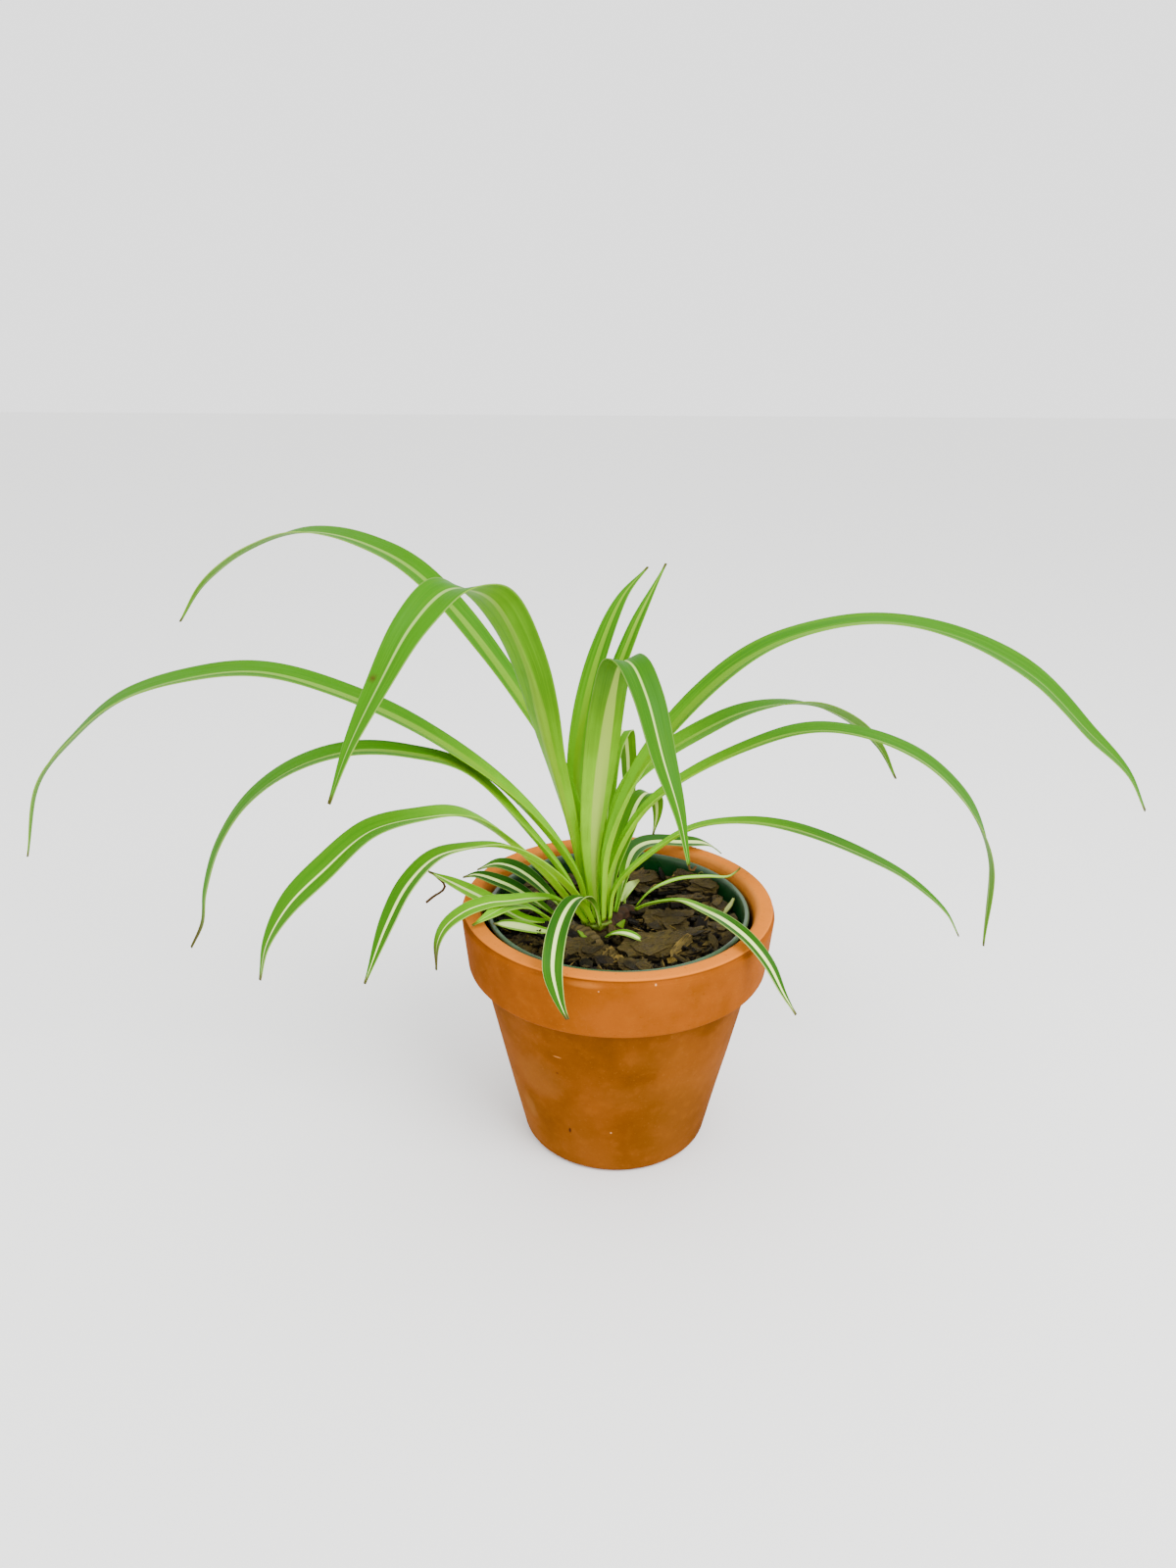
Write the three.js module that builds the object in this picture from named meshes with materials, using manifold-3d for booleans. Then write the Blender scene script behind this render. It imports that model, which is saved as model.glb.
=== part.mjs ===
// A potted spider plant: a clay pot, the plastic grower's pot inside it, the potting mix with its bark,
// and the plant: three short crowns with their leaves, a ringed stub of old stem and a piece of old root.
// Millimetres, z up, x to the right and y away from the viewer. The origin is the centre of the pot's foot.
import * as THREE from "three";
import { mergeVertices } from "three/addons/utils/BufferGeometryUtils.js";
import Module from "manifold-3d";

const wasm = await Module();
wasm.setup();

// Driving dimensions
const gap = 0.3; // clearance between pieces that rest on each other

const clayPot = {
  rimRadius: 77.5, // outer radius of the collar at its top
  innerRimRadius: 68,
  height: 129,
  collarHeight: 32,
  collarFootRadius: 74.9,
  neckRadius: 68.4, // body just under the collar
  footRadius: 48,
  floorRadius: 43, // inner radius at the floor
  floorThickness: 10,
  drainRadius: 8,
  lip: 3, // rounding of the rim
  foot: 4, // rounding of the foot
};

const growerPot = {
  rimRadius: 65.3, // outside of the rolled rim
  beadRadius: 1.3,
  wall: 1,
  top: 125.8,
  neckRadius: 63.2, // outer radius of the wall under the rim
  footRadius: 41,
  drainRadius: 4,
  drainCircle: 27,
  drainCount: 6,
};

const mix = {
  level: 111.3, // surface of the potting mix
  flatRadius: 34, // the surface rises from here to the wall
  edgeLevel: 115, // surface at the wall
  chipCount: 64,
  chipSize: [3, 6.5], // half of a chip's length, smallest and largest
  chipThickness: 2.4,
  seed: 11,
};

// Large pieces of bark: centre, length, width, thickness, and the turn of the length from the x axis,
// in degrees
const largeChips = [
  { x: 22, y: -20, length: 42, width: 19, thickness: 4.5, turn: 8 },
  { x: 25, y: 7, length: 21, width: 17, thickness: 4, turn: -6 },
  { x: 44, y: 2, length: 22, width: 12, thickness: 3.5, turn: 28 },
  { x: 48, y: 17, length: 17, width: 9, thickness: 3, turn: 60 },
  { x: -27, y: -20, length: 17, width: 12, thickness: 4, turn: -15 },
  { x: -8, y: -32, length: 15, width: 9, thickness: 4, turn: 40 },
  { x: 36, y: 38, length: 20, width: 11, thickness: 3.5, turn: -30 },
  { x: -46, y: 20, length: 16, width: 11, thickness: 3, turn: 70 },
];

const blade = {
  thickness: 0.7,
  stationSpacing: 11,
  fewestStations: 6,
  shares: [0.34, 0.66, 0.94, 1, 0.74, 0.08], // of the full width, at even steps from base to tip
  tipWidth: 1.2,
  baseFold: 58, // degrees that each half is folded up from flat at the base
  openFrom: 0.34, // where the base fold has opened out, along the length
  fold: 22, // fold of the opened blade
  tipFold: 12,
};

// The rhizome: three crowns that the leaves stand on, narrowest at the surface of the mix, a ringed stub
// of old stem across the front of the main one, a piece of old root from there to the right one, and two
// stubs of cut leaves
const crowns = [
  { x: -10.5, y: 2, rootRadius: 9, footRadius: 5.2, topRadius: 7.8, top: 117.3 },
  { x: -26, y: 4.5, rootRadius: 6, footRadius: 4.6, topRadius: 5.4, top: 113 },
  { x: 7, y: 21, rootRadius: 4, footRadius: 3.6, topRadius: 4, top: 113.2 },
];
const crownDepth = 7; // how far the crowns go down into the mix

const stubs = [
  {
    name: "old stem", // its leaf scars are the rings
    from: [-23.5, 0, 110.8],
    to: [-9.5, -17.5, 111.6],
    radii: [4, 4.8, 3.6],
    rings: 6,
    ringHeight: 0.35,
    flat: 1,
  },
  {
    name: "old root",
    from: [-8, -3, 111],
    to: [6.5, 17.5, 113.5],
    radii: [3, 4.8, 3.9],
    rings: 4,
    ringHeight: 0.4,
    flat: 1,
  },
  {
    name: "cut leaf on the old stem",
    from: [-19, -9, 115.6],
    to: [-13.3, -19, 112.4],
    radii: [1.5, 2.2, 2.1],
    rings: 0,
    ringHeight: 0,
    flat: 0.6,
  },
  {
    name: "cut leaf on the old root",
    from: [-1, -0.5, 110.5],
    to: [3.6, -1.5, 118],
    radii: [2.4, 2.1, 0.5],
    rings: 0,
    ringHeight: 0,
    flat: 0.45,
  },
];

// Each leaf: full width and centre line from base to tip. Where a leaf has them, its shares take the
// place of the blade's, and its roll turns it about its centre line, in degrees at even steps from base
// to tip, clockwise for a viewer who looks along the leaf from its base.
const longLeaves = [
  {
    name: "leaf_main_01", // back left, the highest arch on the left
    width: 17,
    roll: [0, -4, -9, -2, 6],
    spine: [[-10.5, 4.3, 117.9], [-13, 8.5, 140], [-20, 12, 168], [-39, 20, 212], [-93, 44, 278],
      [-125, 63, 293], [-162, 83, 296], [-199, 103, 282], [-230, 120, 260], [-247, 127, 238]],
  },
  {
    name: "leaf_main_02", // front left, the wide one that folds over towards the viewer
    width: 23,
    shares: [0.26, 0.42, 0.62, 0.8, 0.85, 0.88, 0.65, 0.4, 0.06],
    roll: [0, -2, -6, 4, 13, 17, -26, -11, -2],
    spacing: 8,
    spine: [[-15.5, 5, 118.6], [-18.5, 4, 140], [-24, 0, 170], [-32, -9, 207], [-41, -33, 258],
      [-52, -56, 290], [-60, -71, 299], [-69, -84, 301], [-80, -98, 291], [-91, -110, 272],
      [-102, -119, 250], [-109, -125, 231]],
  },
  {
    name: "leaf_main_03", // left, the longest
    width: 19.5,
    shares: [0.28, 0.7, 1, 0.97, 0.82, 0.08],
    roll: [0, -8, -6, -4, 0],
    spine: [[-15.6, 1.5, 118.6], [-20, -1, 142], [-49, -4, 184], [-92, -9, 220], [-132, -16, 242],
      [-162, -20, 251], [-192, -24, 249], [-221, -28, 240], [-243, -31, 223], [-260, -34, 203],
      [-271, -35, 167]],
  },
  {
    name: "leaf_main_04", // left, under the longest
    width: 16.5,
    shares: [0.27, 0.6, 0.84, 1, 0.7, 0.08],
    roll: [0, -8, -6, -8, -26],
    spine: [[-16, -1.8, 118.4], [-23, -3, 137], [-41, -6, 165], [-73, -11, 202], [-97, -15, 211],
      [-122, -20, 214], [-147, -25, 208], [-169, -28, 193], [-184, -31, 172], [-193, -32, 148],
      [-196, -33, 132], [-202, -35, 120]],
  },
  {
    name: "leaf_main_05", // front left, broad and striped
    width: 18,
    shares: [0.31, 0.64, 1, 0.9, 0.78, 0.08],
    roll: [0, 4, 2, -21, -18],
    spine: [[-15.5, -4.8, 118.2], [-24.5, -7.5, 132], [-40, -11, 153], [-70, -29, 186],
      [-90, -40, 190], [-111, -49, 187], [-130, -60, 173], [-145, -66, 159], [-155, -70, 142],
      [-159, -72, 125]],
  },
  {
    name: "leaf_main_06", // front left, shorter and lower
    width: 13.5,
    roll: [0, 5, 12, -12, -38],
    spine: [[-12.3, -5.6, 118.2], [-18, -12, 133], [-38, -27, 162], [-54, -34, 173],
      [-69, -42, 176], [-83, -48, 174], [-94, -56, 165], [-103, -62, 149], [-114, -68, 121]],
  },
  {
    name: "leaf_main_07", // right, low, with a half twist
    width: 13.5,
    shares: [0.32, 0.62, 0.82, 1, 0.7, 0.08],
    roll: [0, -14, 5, 9, 26],
    spine: [[-4, -1.5, 118.4], [-1, -1, 136], [20, 1, 157], [38, 3, 167], [62, 5, 169],
      [87, 8, 164], [116, 11, 152], [146, 15, 135], [170, 17, 114], [179, 18, 99]],
  },
  {
    name: "leaf_main_08", // right, the middle arch
    width: 17.5,
    shares: [0.27, 0.66, 0.9, 1, 0.88, 0.08],
    roll: [0, -5, 2, 20, -4],
    spine: [[-4.2, 2.4, 117.8], [-3.5, 3, 142], [15, 5, 178], [61, 9, 206], [93, 13, 214],
      [121, 15, 210], [152, 19, 195], [178, 21, 169], [192, 24, 139], [195, 24, 90]],
  },
  {
    name: "leaf_main_09", // back right
    width: 15,
    shares: [0.35, 0.7, 1, 1, 0.79, 0.08],
    roll: [0, 6, 4, -18, -18],
    spine: [[-5.8, 5.8, 117.8], [-5, 10, 149], [6, 14, 186], [48, 28, 212], [73, 38, 218],
      [98, 48, 216], [122, 58, 204], [141, 67, 186], [152, 70, 167]],
  },
  {
    name: "leaf_main_10", // front, upright and folded over at the top
    width: 20,
    shares: [0.3, 0.78, 1, 0.88, 0.66, 0.07],
    spacing: 7,
    spine: [[-10, -2.5, 118.6], [-12, -3, 140], [-12, -4, 165], [-9, -5, 200], [-5, -9, 237],
      [-1, -17, 256], [4, -27, 257], [10, -38, 246], [17, -51, 222], [24, -61, 200],
      [28, -68, 180]],
  },
  {
    name: "leaf_main_11", // right, the highest arch
    width: 20.5,
    shares: [0.27, 0.74, 1, 0.87, 0.76, 0.08],
    roll: [0, 10, 0, 32, 44],
    spine: [[-7, -3, 118.6], [-7, -6, 136], [-5, -7, 161], [10, -4, 200], [39, 1, 236],
      [65, 4, 256], [96, 8, 266], [127, 13, 267], [163, 16, 258], [200, 21, 238], [231, 24, 210],
      [256, 27, 187], [269, 29, 166]],
  },
  {
    name: "leaf_main_12", // upright, back
    width: 11.5,
    spine: [[-13, 8, 118.5], [-16.5, 15, 138], [-21, 21, 183], [-18, 25, 215], [-10, 33, 247],
      [1, 44, 271], [14, 60, 283]],
  },
  {
    name: "leaf_main_13", // upright, furthest back
    width: 9,
    spine: [[-9.3, 8.2, 117.4], [-8, 17, 140], [-8, 24, 184], [-5, 32, 222], [6, 47, 252],
      [24, 75, 282]],
  },
];

// The shorter leaves, green with a broad white stripe
const stripedLeaves = [
  // On the main crown
  {
    name: "leaf_main_14", // short, folded over behind the upright ones
    width: 10,
    spacing: 8,
    spine: [[-7, 12, 112.1], [-7, 22, 140], [-5, 30, 174], [-2, 37, 196], [3, 44, 203], [5.5, 51, 189],
      [6.5, 54, 172], [8, 55, 150], [8, 52, 137]],
  },
  {
    name: "leaf_main_15", // short, back right
    width: 10.5,
    spacing: 8,
    spine: [[-3, 11, 116], [-1.5, 16, 139], [4.5, 23, 156], [10.5, 33, 168], [15, 40, 170],
      [20, 47, 165], [21.5, 50, 158], [21.5, 51, 151], [20, 52, 141]],
  },
  {
    name: "leaf_main_16", // striped, over the back of the rim
    width: 12,
    roll: [0, 4, 16, 16],
    spine: [[-0.5, 6, 118.4], [3.2, 14.5, 131], [6.5, 26.5, 138.5], [10, 36, 140], [16.5, 46, 139],
      [24.3, 53, 136.8], [32.3, 57.5, 134.5], [40.3, 61, 132.8], [48, 65, 130.5], [54, 70, 126],
      [60, 76, 119]],
  },
  {
    name: "leaf_main_17", // striped, over the front of the rim
    width: 9.5,
    shares: [0.33, 0.55, 0.9, 1, 0.95, 0.2],
    spacing: 7,
    spine: [[-9, -6.5, 117], [-11, -9, 128], [-15, -19, 139], [-21, -36, 147], [-26, -54, 148],
      [-29, -67, 143], [-30, -77, 134], [-28, -80, 124], [-25.5, -80.5, 116], [-23.5, -80, 111]],
  },
  {
    name: "leaf_main_18", // short, at the foot of the crown
    width: 6,
    spine: [[-6.6, -10.5, 111.8], [-4.5, -12, 115], [1, -14, 117.6], [7, -17, 117.8],
      [13, -21, 116]],
  },
  // On the left crown
  {
    name: "leaf_left_01",
    width: 9.5,
    roll: [0, -10, -16, -14],
    spine: [[-25, 8, 113.8], [-32, 12, 122], [-45, 15, 134], [-54, 18, 138], [-62, 20, 138.5],
      [-72, 24, 133]],
  },
  {
    name: "leaf_left_02",
    width: 9.5,
    roll: [0, -10, -16, -14],
    spine: [[-28, 6.5, 113.8], [-33, 7, 117], [-50, 9, 129], [-60, 9, 134], [-71, 10, 137],
      [-78, 11, 135]],
  },
  {
    name: "leaf_left_03",
    width: 10,
    roll: [0, -12, -20, -18],
    spine: [[-29.5, 3, 114], [-36, 0, 115.6], [-47, -3, 119], [-61, -2, 127], [-78, -3, 137],
      [-93, -5, 146]],
  },
  {
    name: "leaf_left_04",
    width: 9,
    roll: [0, -10, -16, -10],
    spine: [[-23.5, 3, 114.5], [-25, 1, 124], [-32, 0, 129], [-41, -7, 133], [-53, -18, 137],
      [-62, -22, 138], [-73, -27, 136], [-82, -31, 130], [-86, -33, 122], [-87, -34, 108]],
  },
  {
    name: "leaf_left_05",
    width: 8.5,
    roll: [0, -10, -16, -16],
    spine: [[-27.5, 0.5, 113.8], [-33, -3, 118], [-40, -6, 125], [-47, -11, 131], [-54, -20, 135],
      [-62, -29, 134.5], [-69, -34, 132]],
  },
  {
    name: "leaf_left_06",
    width: 8.5,
    shares: [0.5, 0.8, 1, 1, 0.74, 0.08],
    roll: [0, -14, -18, -14],
    spine: [[-30, -4.5, 113], [-34, -8, 114.3], [-41, -11, 117.3], [-50, -15, 121.5],
      [-60, -24, 127.6]],
  },
  // On the right crown
  {
    name: "leaf_right_01", // striped, over the front right of the rim
    width: 8.5,
    shares: [0.4, 0.5, 0.85, 1, 0.8, 0.08],
    spine: [[9.5, 17, 113.8], [15, 12.5, 119.2], [30, 1, 127.8], [41, -17, 132.2], [50.5, -36, 135.4],
      [59.5, -51, 133.6], [67, -58, 126], [74, -62, 113], [80, -63, 103]],
  },
  {
    name: "leaf_right_02", // thin, with a bent tip
    width: 3.2,
    spine: [[10, 21, 113.8], [15, 20, 121], [21, 20, 126], [32, 24, 128.5], [46, 25, 129.5],
      [58, 27, 128.5], [61.5, 26.5, 131], [64, 26, 134]],
  },
  {
    name: "leaf_right_03", // short pale stub
    width: 6.5,
    shares: [0.6, 0.9, 1, 0.9, 0.6, 0.1],
    roll: [0, 14, 24],
    spine: [[4.3, 24, 113.5], [4.2, 25.5, 118], [7.2, 27, 122.3], [12, 28, 125.6]],
  },
];

// Materials
const colours = {
  clay: 0xc07a45,
  plastic: 0x1f4a33,
  mix: 0x2b211b,
  rhizome: 0x6e5a33,
  leafGreen: 0x7fb02a,
  leafStriped: 0x5d9142,
};

function finish(colour, roughness) {
  return new THREE.MeshStandardMaterial({ color: colour, roughness, metalness: 0 });
}

const materials = {
  clay: finish(colours.clay, 0.85),
  plastic: finish(colours.plastic, 0.45),
  mix: finish(colours.mix, 0.95),
  rhizome: finish(colours.rhizome, 0.8),
  leafGreen: finish(colours.leafGreen, 0.45),
  leafStriped: finish(colours.leafStriped, 0.45),
};

// Solids
function solidOf(geometry) {
  const bare = geometry.clone();
  bare.deleteAttribute("normal");
  bare.deleteAttribute("uv");
  const merged = mergeVertices(bare, 1e-4);
  return new wasm.Manifold(
    new wasm.Mesh({
      numProp: 3,
      vertProperties: new Float32Array(merged.attributes.position.array),
      triVerts: new Uint32Array(merged.index.array),
    }),
  );
}

function geometryOf(solid) {
  const mesh = solid.getMesh();
  const geometry = new THREE.BufferGeometry();
  geometry.setAttribute("position", new THREE.BufferAttribute(new Float32Array(mesh.vertProperties), 3));
  geometry.setIndex(new THREE.BufferAttribute(new Uint32Array(mesh.triVerts), 1));
  geometry.computeVertexNormals();
  return geometry;
}

// A closed outline of [radius, height] points turned round the z axis; the points run anticlockwise
function turned(outline, segments) {
  const points = outline.map(([radius, height]) => new THREE.Vector2(radius, height));
  return new THREE.LatheGeometry(points, segments).rotateX(Math.PI / 2);
}

// Points of a quarter circle round [radius, height], from one angle to another in degrees
function corner(radius, height, size, from, to, steps = 4) {
  const points = [];
  for (let i = 0; i <= steps; i += 1) {
    const angle = THREE.MathUtils.degToRad(from + ((to - from) * i) / steps);
    points.push([radius + size * Math.cos(angle), height + size * Math.sin(angle)]);
  }
  return points;
}

// A repeatable random number from 0 to 1
function randomFrom(seed) {
  let state = seed;
  return () => {
    state = (state * 16807) % 2147483647;
    return state / 2147483647;
  };
}

// Clay pot
function clayPotGeometry() {
  const p = clayPot;
  const collarFoot = p.height - p.collarHeight;
  const outline = [
    [p.drainRadius, 0],
    ...corner(p.footRadius - p.foot, p.foot, p.foot, -90, -12),
    [p.neckRadius, collarFoot - 1],
    [p.neckRadius + 1.2, collarFoot],
    ...corner(p.collarFootRadius - 2, collarFoot + 2, 2, -80, 0, 3),
    ...corner(p.rimRadius - p.lip, p.height - p.lip, p.lip, 0, 90),
    ...corner(p.innerRimRadius + p.lip, p.height - p.lip, p.lip, 90, 180),
    ...corner(p.floorRadius - p.foot, p.floorThickness + p.foot, p.foot, -12, -90),
    [p.drainRadius, p.floorThickness],
    [p.drainRadius, 0],
  ];
  return turned(outline, 64);
}

// Grower's pot: a thin tapered cup with a rolled rim and a ring of drain holes in its floor
function growerPotGeometry() {
  const p = growerPot;
  const bottom = clayPot.floorThickness + gap;
  const beadHeight = p.top - p.beadRadius;
  const beadCentre = p.rimRadius - p.beadRadius;
  const outline = [
    [0, bottom],
    [p.footRadius - 2, bottom],
    [p.footRadius, bottom + 2],
    [p.neckRadius, beadHeight - 3],
    ...corner(beadCentre, beadHeight, p.beadRadius, -60, 150, 6),
    [p.neckRadius - p.wall, beadHeight - 3],
    [p.footRadius - p.wall, bottom + 2],
    [p.footRadius - 2, bottom + p.wall],
    [0, bottom + p.wall],
  ];
  let solid = solidOf(turned(outline, 60));
  for (let i = 0; i < p.drainCount; i += 1) {
    const angle = (2 * Math.PI * i) / p.drainCount;
    const hole = new THREE.CylinderGeometry(p.drainRadius, p.drainRadius, 4 * p.wall, 16)
      .rotateX(Math.PI / 2)
      .translate(p.drainCircle * Math.cos(angle), p.drainCircle * Math.sin(angle), bottom);
    solid = solid.subtract(solidOf(hole));
  }
  return geometryOf(solid);
}

// Rhizome
function crownGeometry(crown, grow) {
  const bottom = mix.level - crownDepth - grow;
  const top = crown.top + grow;
  const root = crown.rootRadius + grow;
  const foot = crown.footRadius + grow;
  const brim = crown.topRadius + grow;
  const outline = [
    [0, bottom],
    [0.8 * root, bottom],
    [root, bottom + 2],
    [root, mix.level - 2],
    [foot, mix.level],
    [brim, top - 1.2],
    [0.8 * brim, top - 0.2],
    [0, top],
  ];
  return turned(outline, 20).translate(crown.x, crown.y, 0);
}

// A short stalk from one point to another, with rings round it and rounded ends
function stubGeometry(stub, grow) {
  const from = new THREE.Vector3(...stub.from);
  const to = new THREE.Vector3(...stub.to);
  const length = from.distanceTo(to);
  const steps = Math.max(4, 4 * stub.rings);
  const outline = [[0, -grow]];
  for (let i = 0; i <= steps; i += 1) {
    const t = i / steps;
    const [start, middle, end] = stub.radii;
    const swell =
      t < 0.5
        ? THREE.MathUtils.lerp(start, middle, 2 * t)
        : THREE.MathUtils.lerp(middle, end, 2 * t - 1);
    const ring = stub.ringHeight * Math.cos(2 * Math.PI * stub.rings * t);
    const rounding = i === 0 || i === steps ? 0.75 : 1;
    outline.push([rounding * (swell + ring) + grow, t * length]);
  }
  outline.push([0, length + grow]);
  const turn = new THREE.Quaternion().setFromUnitVectors(
    new THREE.Vector3(0, 0, 1),
    to.clone().sub(from).normalize(),
  );
  return turned(outline, 12).scale(1, stub.flat, 1).applyQuaternion(turn).translate(...stub.from);
}

// The rhizome as one solid; grown a little, it is also the hollow that the mix leaves for it
function rhizomeSolid(grow) {
  const pieces = [
    ...crowns.map((crown) => crownGeometry(crown, grow)),
    ...stubs.map((stub) => stubGeometry(stub, grow)),
  ];
  return pieces.map(solidOf).reduce((whole, piece) => whole.add(piece));
}

// Potting mix: a tapered plug, its top higher at the wall, and chips of bark bedded in it
function chipGeometry(length, width, thickness, random) {
  const sides = 6;
  const outline = new THREE.Shape();
  for (let i = 0; i < sides; i += 1) {
    const angle = (2 * Math.PI * i) / sides;
    const reach = 0.8 + 0.35 * random();
    const x = 0.5 * length * reach * Math.cos(angle);
    const y = 0.5 * width * reach * Math.sin(angle);
    if (i === 0) outline.moveTo(x, y);
    else outline.lineTo(x, y);
  }
  outline.closePath();
  return new THREE.ExtrudeGeometry(outline, { depth: thickness, bevelEnabled: false });
}

// Height of the surface of the mix at a place
function mixHeight(x, y, topRadius) {
  const rise = (Math.hypot(x, y) - mix.flatRadius) / (topRadius - mix.flatRadius);
  return THREE.MathUtils.lerp(mix.level, mix.edgeLevel, Math.max(rise, 0));
}

// True where a chip of this size would lie under a low leaf
function underLeaf(x, y, size, lowLeafPoints) {
  return lowLeafPoints.some((point) => Math.hypot(point.x - x, point.y - y) < size + 3);
}

function mixSolid() {
  const bottom = clayPot.floorThickness + gap + growerPot.wall + gap;
  const slope = (growerPot.neckRadius - growerPot.footRadius) / (growerPot.top - clayPot.floorThickness);
  const footRadius = growerPot.footRadius - growerPot.wall - 2 * gap;
  const topRadius = footRadius + slope * (mix.edgeLevel - bottom) + gap;
  const plug = [
    [0, bottom],
    [footRadius - 2, bottom],
    [footRadius, bottom + 2],
    [topRadius, mix.edgeLevel],
    [mix.flatRadius, mix.level],
    [0, mix.level],
  ];
  let solid = solidOf(turned(plug, 48));
  const random = randomFrom(mix.seed);
  largeChips.forEach((chip) => {
    const geometry = chipGeometry(chip.length, chip.width, chip.thickness, random)
      .rotateX(0.1 * (random() - 0.5))
      .rotateZ(THREE.MathUtils.degToRad(chip.turn))
      .translate(chip.x, chip.y, mixHeight(chip.x, chip.y, topRadius) - 0.35 * chip.thickness);
    solid = solid.add(solidOf(geometry));
  });
  const lowLeafPoints = [...longLeaves, ...stripedLeaves]
    .flatMap((leaf) => leafCurve(leaf).getSpacedPoints(20))
    .filter((point) => point.z < mix.edgeLevel + 6);
  const [smallest, largest] = mix.chipSize;
  for (let i = 0; i < mix.chipCount; i += 1) {
    const size = smallest + (largest - smallest) * random() ** 2;
    const reach = (topRadius - size - 3) * Math.sqrt(random());
    const angle = 2 * Math.PI * random();
    const x = reach * Math.cos(angle);
    const y = reach * Math.sin(angle);
    const geometry = chipGeometry(2 * size, size, mix.chipThickness, random)
      .translate(0, 0, -0.4 * mix.chipThickness)
      .rotateX(0.7 * (random() - 0.5))
      .rotateY(0.7 * (random() - 0.5))
      .rotateZ(Math.PI * random())
      .translate(x, y, mixHeight(x, y, topRadius));
    if (!underLeaf(x, y, size, lowLeafPoints)) solid = solid.add(solidOf(geometry));
  }
  const hollowed = solid.subtract(rhizomeSolid(gap));
  // The plug without the scraps of bark that the hollow cuts off
  return hollowed.decompose().reduce((most, piece) => (piece.volume() > most.volume() ? piece : most));
}

// Leaf blades
// The smooth curve through a row of values at even steps
function along(values, t) {
  const place = t * (values.length - 1);
  const step = Math.min(Math.floor(place), values.length - 2);
  const at = (i) => values[THREE.MathUtils.clamp(i, 0, values.length - 1)];
  const [before, from, to, after] = [at(step - 1), at(step), at(step + 1), at(step + 2)];
  const u = place - step;
  const start = (to - before) / 2;
  const end = (after - from) / 2;
  const bend = start + end - 2 * (to - from);
  return from + u * (start + u * (3 * (to - from) - 2 * start - end + u * bend));
}

function bladeWidth(leaf, t) {
  return Math.max(leaf.width * along(leaf.shares ?? blade.shares, t), blade.tipWidth);
}

function bladeFold(t) {
  const opened = THREE.MathUtils.smoothstep(t, 0, blade.openFrom);
  const open = THREE.MathUtils.lerp(blade.fold, blade.tipFold, t);
  return THREE.MathUtils.degToRad(THREE.MathUtils.lerp(blade.baseFold, open, opened));
}

function bladeRoll(leaf, t) {
  return THREE.MathUtils.degToRad(along(leaf.roll ?? [0, 0], t));
}

// Six points of a blade's V section: left edge, midrib and right edge of the upper side, then of the
// underside
function bladeSection(leaf, curve, side, t) {
  const centre = curve.getPointAt(t);
  const ahead = curve.getTangentAt(t);
  const across = side.clone().addScaledVector(ahead, -side.dot(ahead)).normalize();
  across.applyAxisAngle(ahead, bladeRoll(leaf, t));
  const up = new THREE.Vector3().crossVectors(ahead, across);
  const fold = bladeFold(t);
  const half = bladeWidth(leaf, t) / 2;
  const depth = blade.thickness / Math.cos(fold);
  // The centre line runs half way up the fold
  const upper = [1, 0, -1].map((place) =>
    centre
      .clone()
      .addScaledVector(across, place * half * Math.cos(fold))
      .addScaledVector(up, (Math.abs(place) - 0.5) * half * Math.sin(fold) + 0.5 * depth),
  );
  const under = upper.map((point) => point.clone().addScaledVector(up, -depth));
  return [...upper, ...under];
}

function leafCurve(leaf) {
  const spine = leaf.spine.map((point) => new THREE.Vector3(...point));
  return new THREE.CatmullRomCurve3(spine, false, "centripetal");
}

function leafGeometry(leaf) {
  const curve = leafCurve(leaf);
  const spacing = leaf.spacing ?? blade.stationSpacing;
  const stations = Math.max(blade.fewestStations, Math.round(curve.getLength() / spacing));
  const reach = curve.getPoint(1).sub(curve.getPoint(0)).setZ(0).normalize();
  const side = new THREE.Vector3(-reach.y, reach.x, 0);
  const positions = [];
  const faces = [];
  for (let i = 0; i <= stations; i += 1) {
    const section = bladeSection(leaf, curve, side, i / stations);
    section.forEach((point) => positions.push(...point.toArray()));
  }
  // The corners of a section in turn round it, and the strips between two sections
  const round = [0, 1, 2, 5, 4, 3];
  for (let i = 0; i < stations; i += 1) {
    for (let k = 0; k < round.length; k += 1) {
      const a = 6 * i + round[k];
      const b = 6 * i + round[(k + 1) % 6];
      const c = b + 6;
      const d = a + 6;
      // The underside's quads are split along the same diagonal as those above them
      if (k < 3) faces.push(a, b, d, b, c, d);
      else faces.push(a, c, d, a, b, c);
    }
  }
  const last = 6 * stations;
  faces.push(0, 4, 1, 0, 3, 4, 1, 5, 2, 1, 4, 5);
  faces.push(last, last + 1, last + 4, last, last + 4, last + 3);
  faces.push(last + 1, last + 2, last + 5, last + 1, last + 5, last + 4);
  const geometry = new THREE.BufferGeometry();
  geometry.setAttribute("position", new THREE.Float32BufferAttribute(positions, 3));
  geometry.setIndex(faces);
  geometry.computeVertexNormals();
  return geometry;
}

// Assembly
const plant = new THREE.Group();

function add(name, geometry, material) {
  const mesh = new THREE.Mesh(geometry, material);
  mesh.name = name;
  plant.add(mesh);
}

add("clay_pot", clayPotGeometry(), materials.clay);
add("nursery_pot", growerPotGeometry(), materials.plastic);
add("soil", geometryOf(mixSolid()), materials.mix);
add("rhizome", geometryOf(rhizomeSolid(0)), materials.rhizome);
longLeaves.forEach((leaf) => add(leaf.name, leafGeometry(leaf), materials.leafGreen));
stripedLeaves.forEach((leaf) => add(leaf.name, leafGeometry(leaf), materials.leafStriped));

export default plant;
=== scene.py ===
# A potted spider plant: a clay pot, the green plastic pot inside it, bark mix, and the plant itself
import bpy
import bmesh
import math
import random
from mathutils import Matrix, Vector, noise


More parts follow.
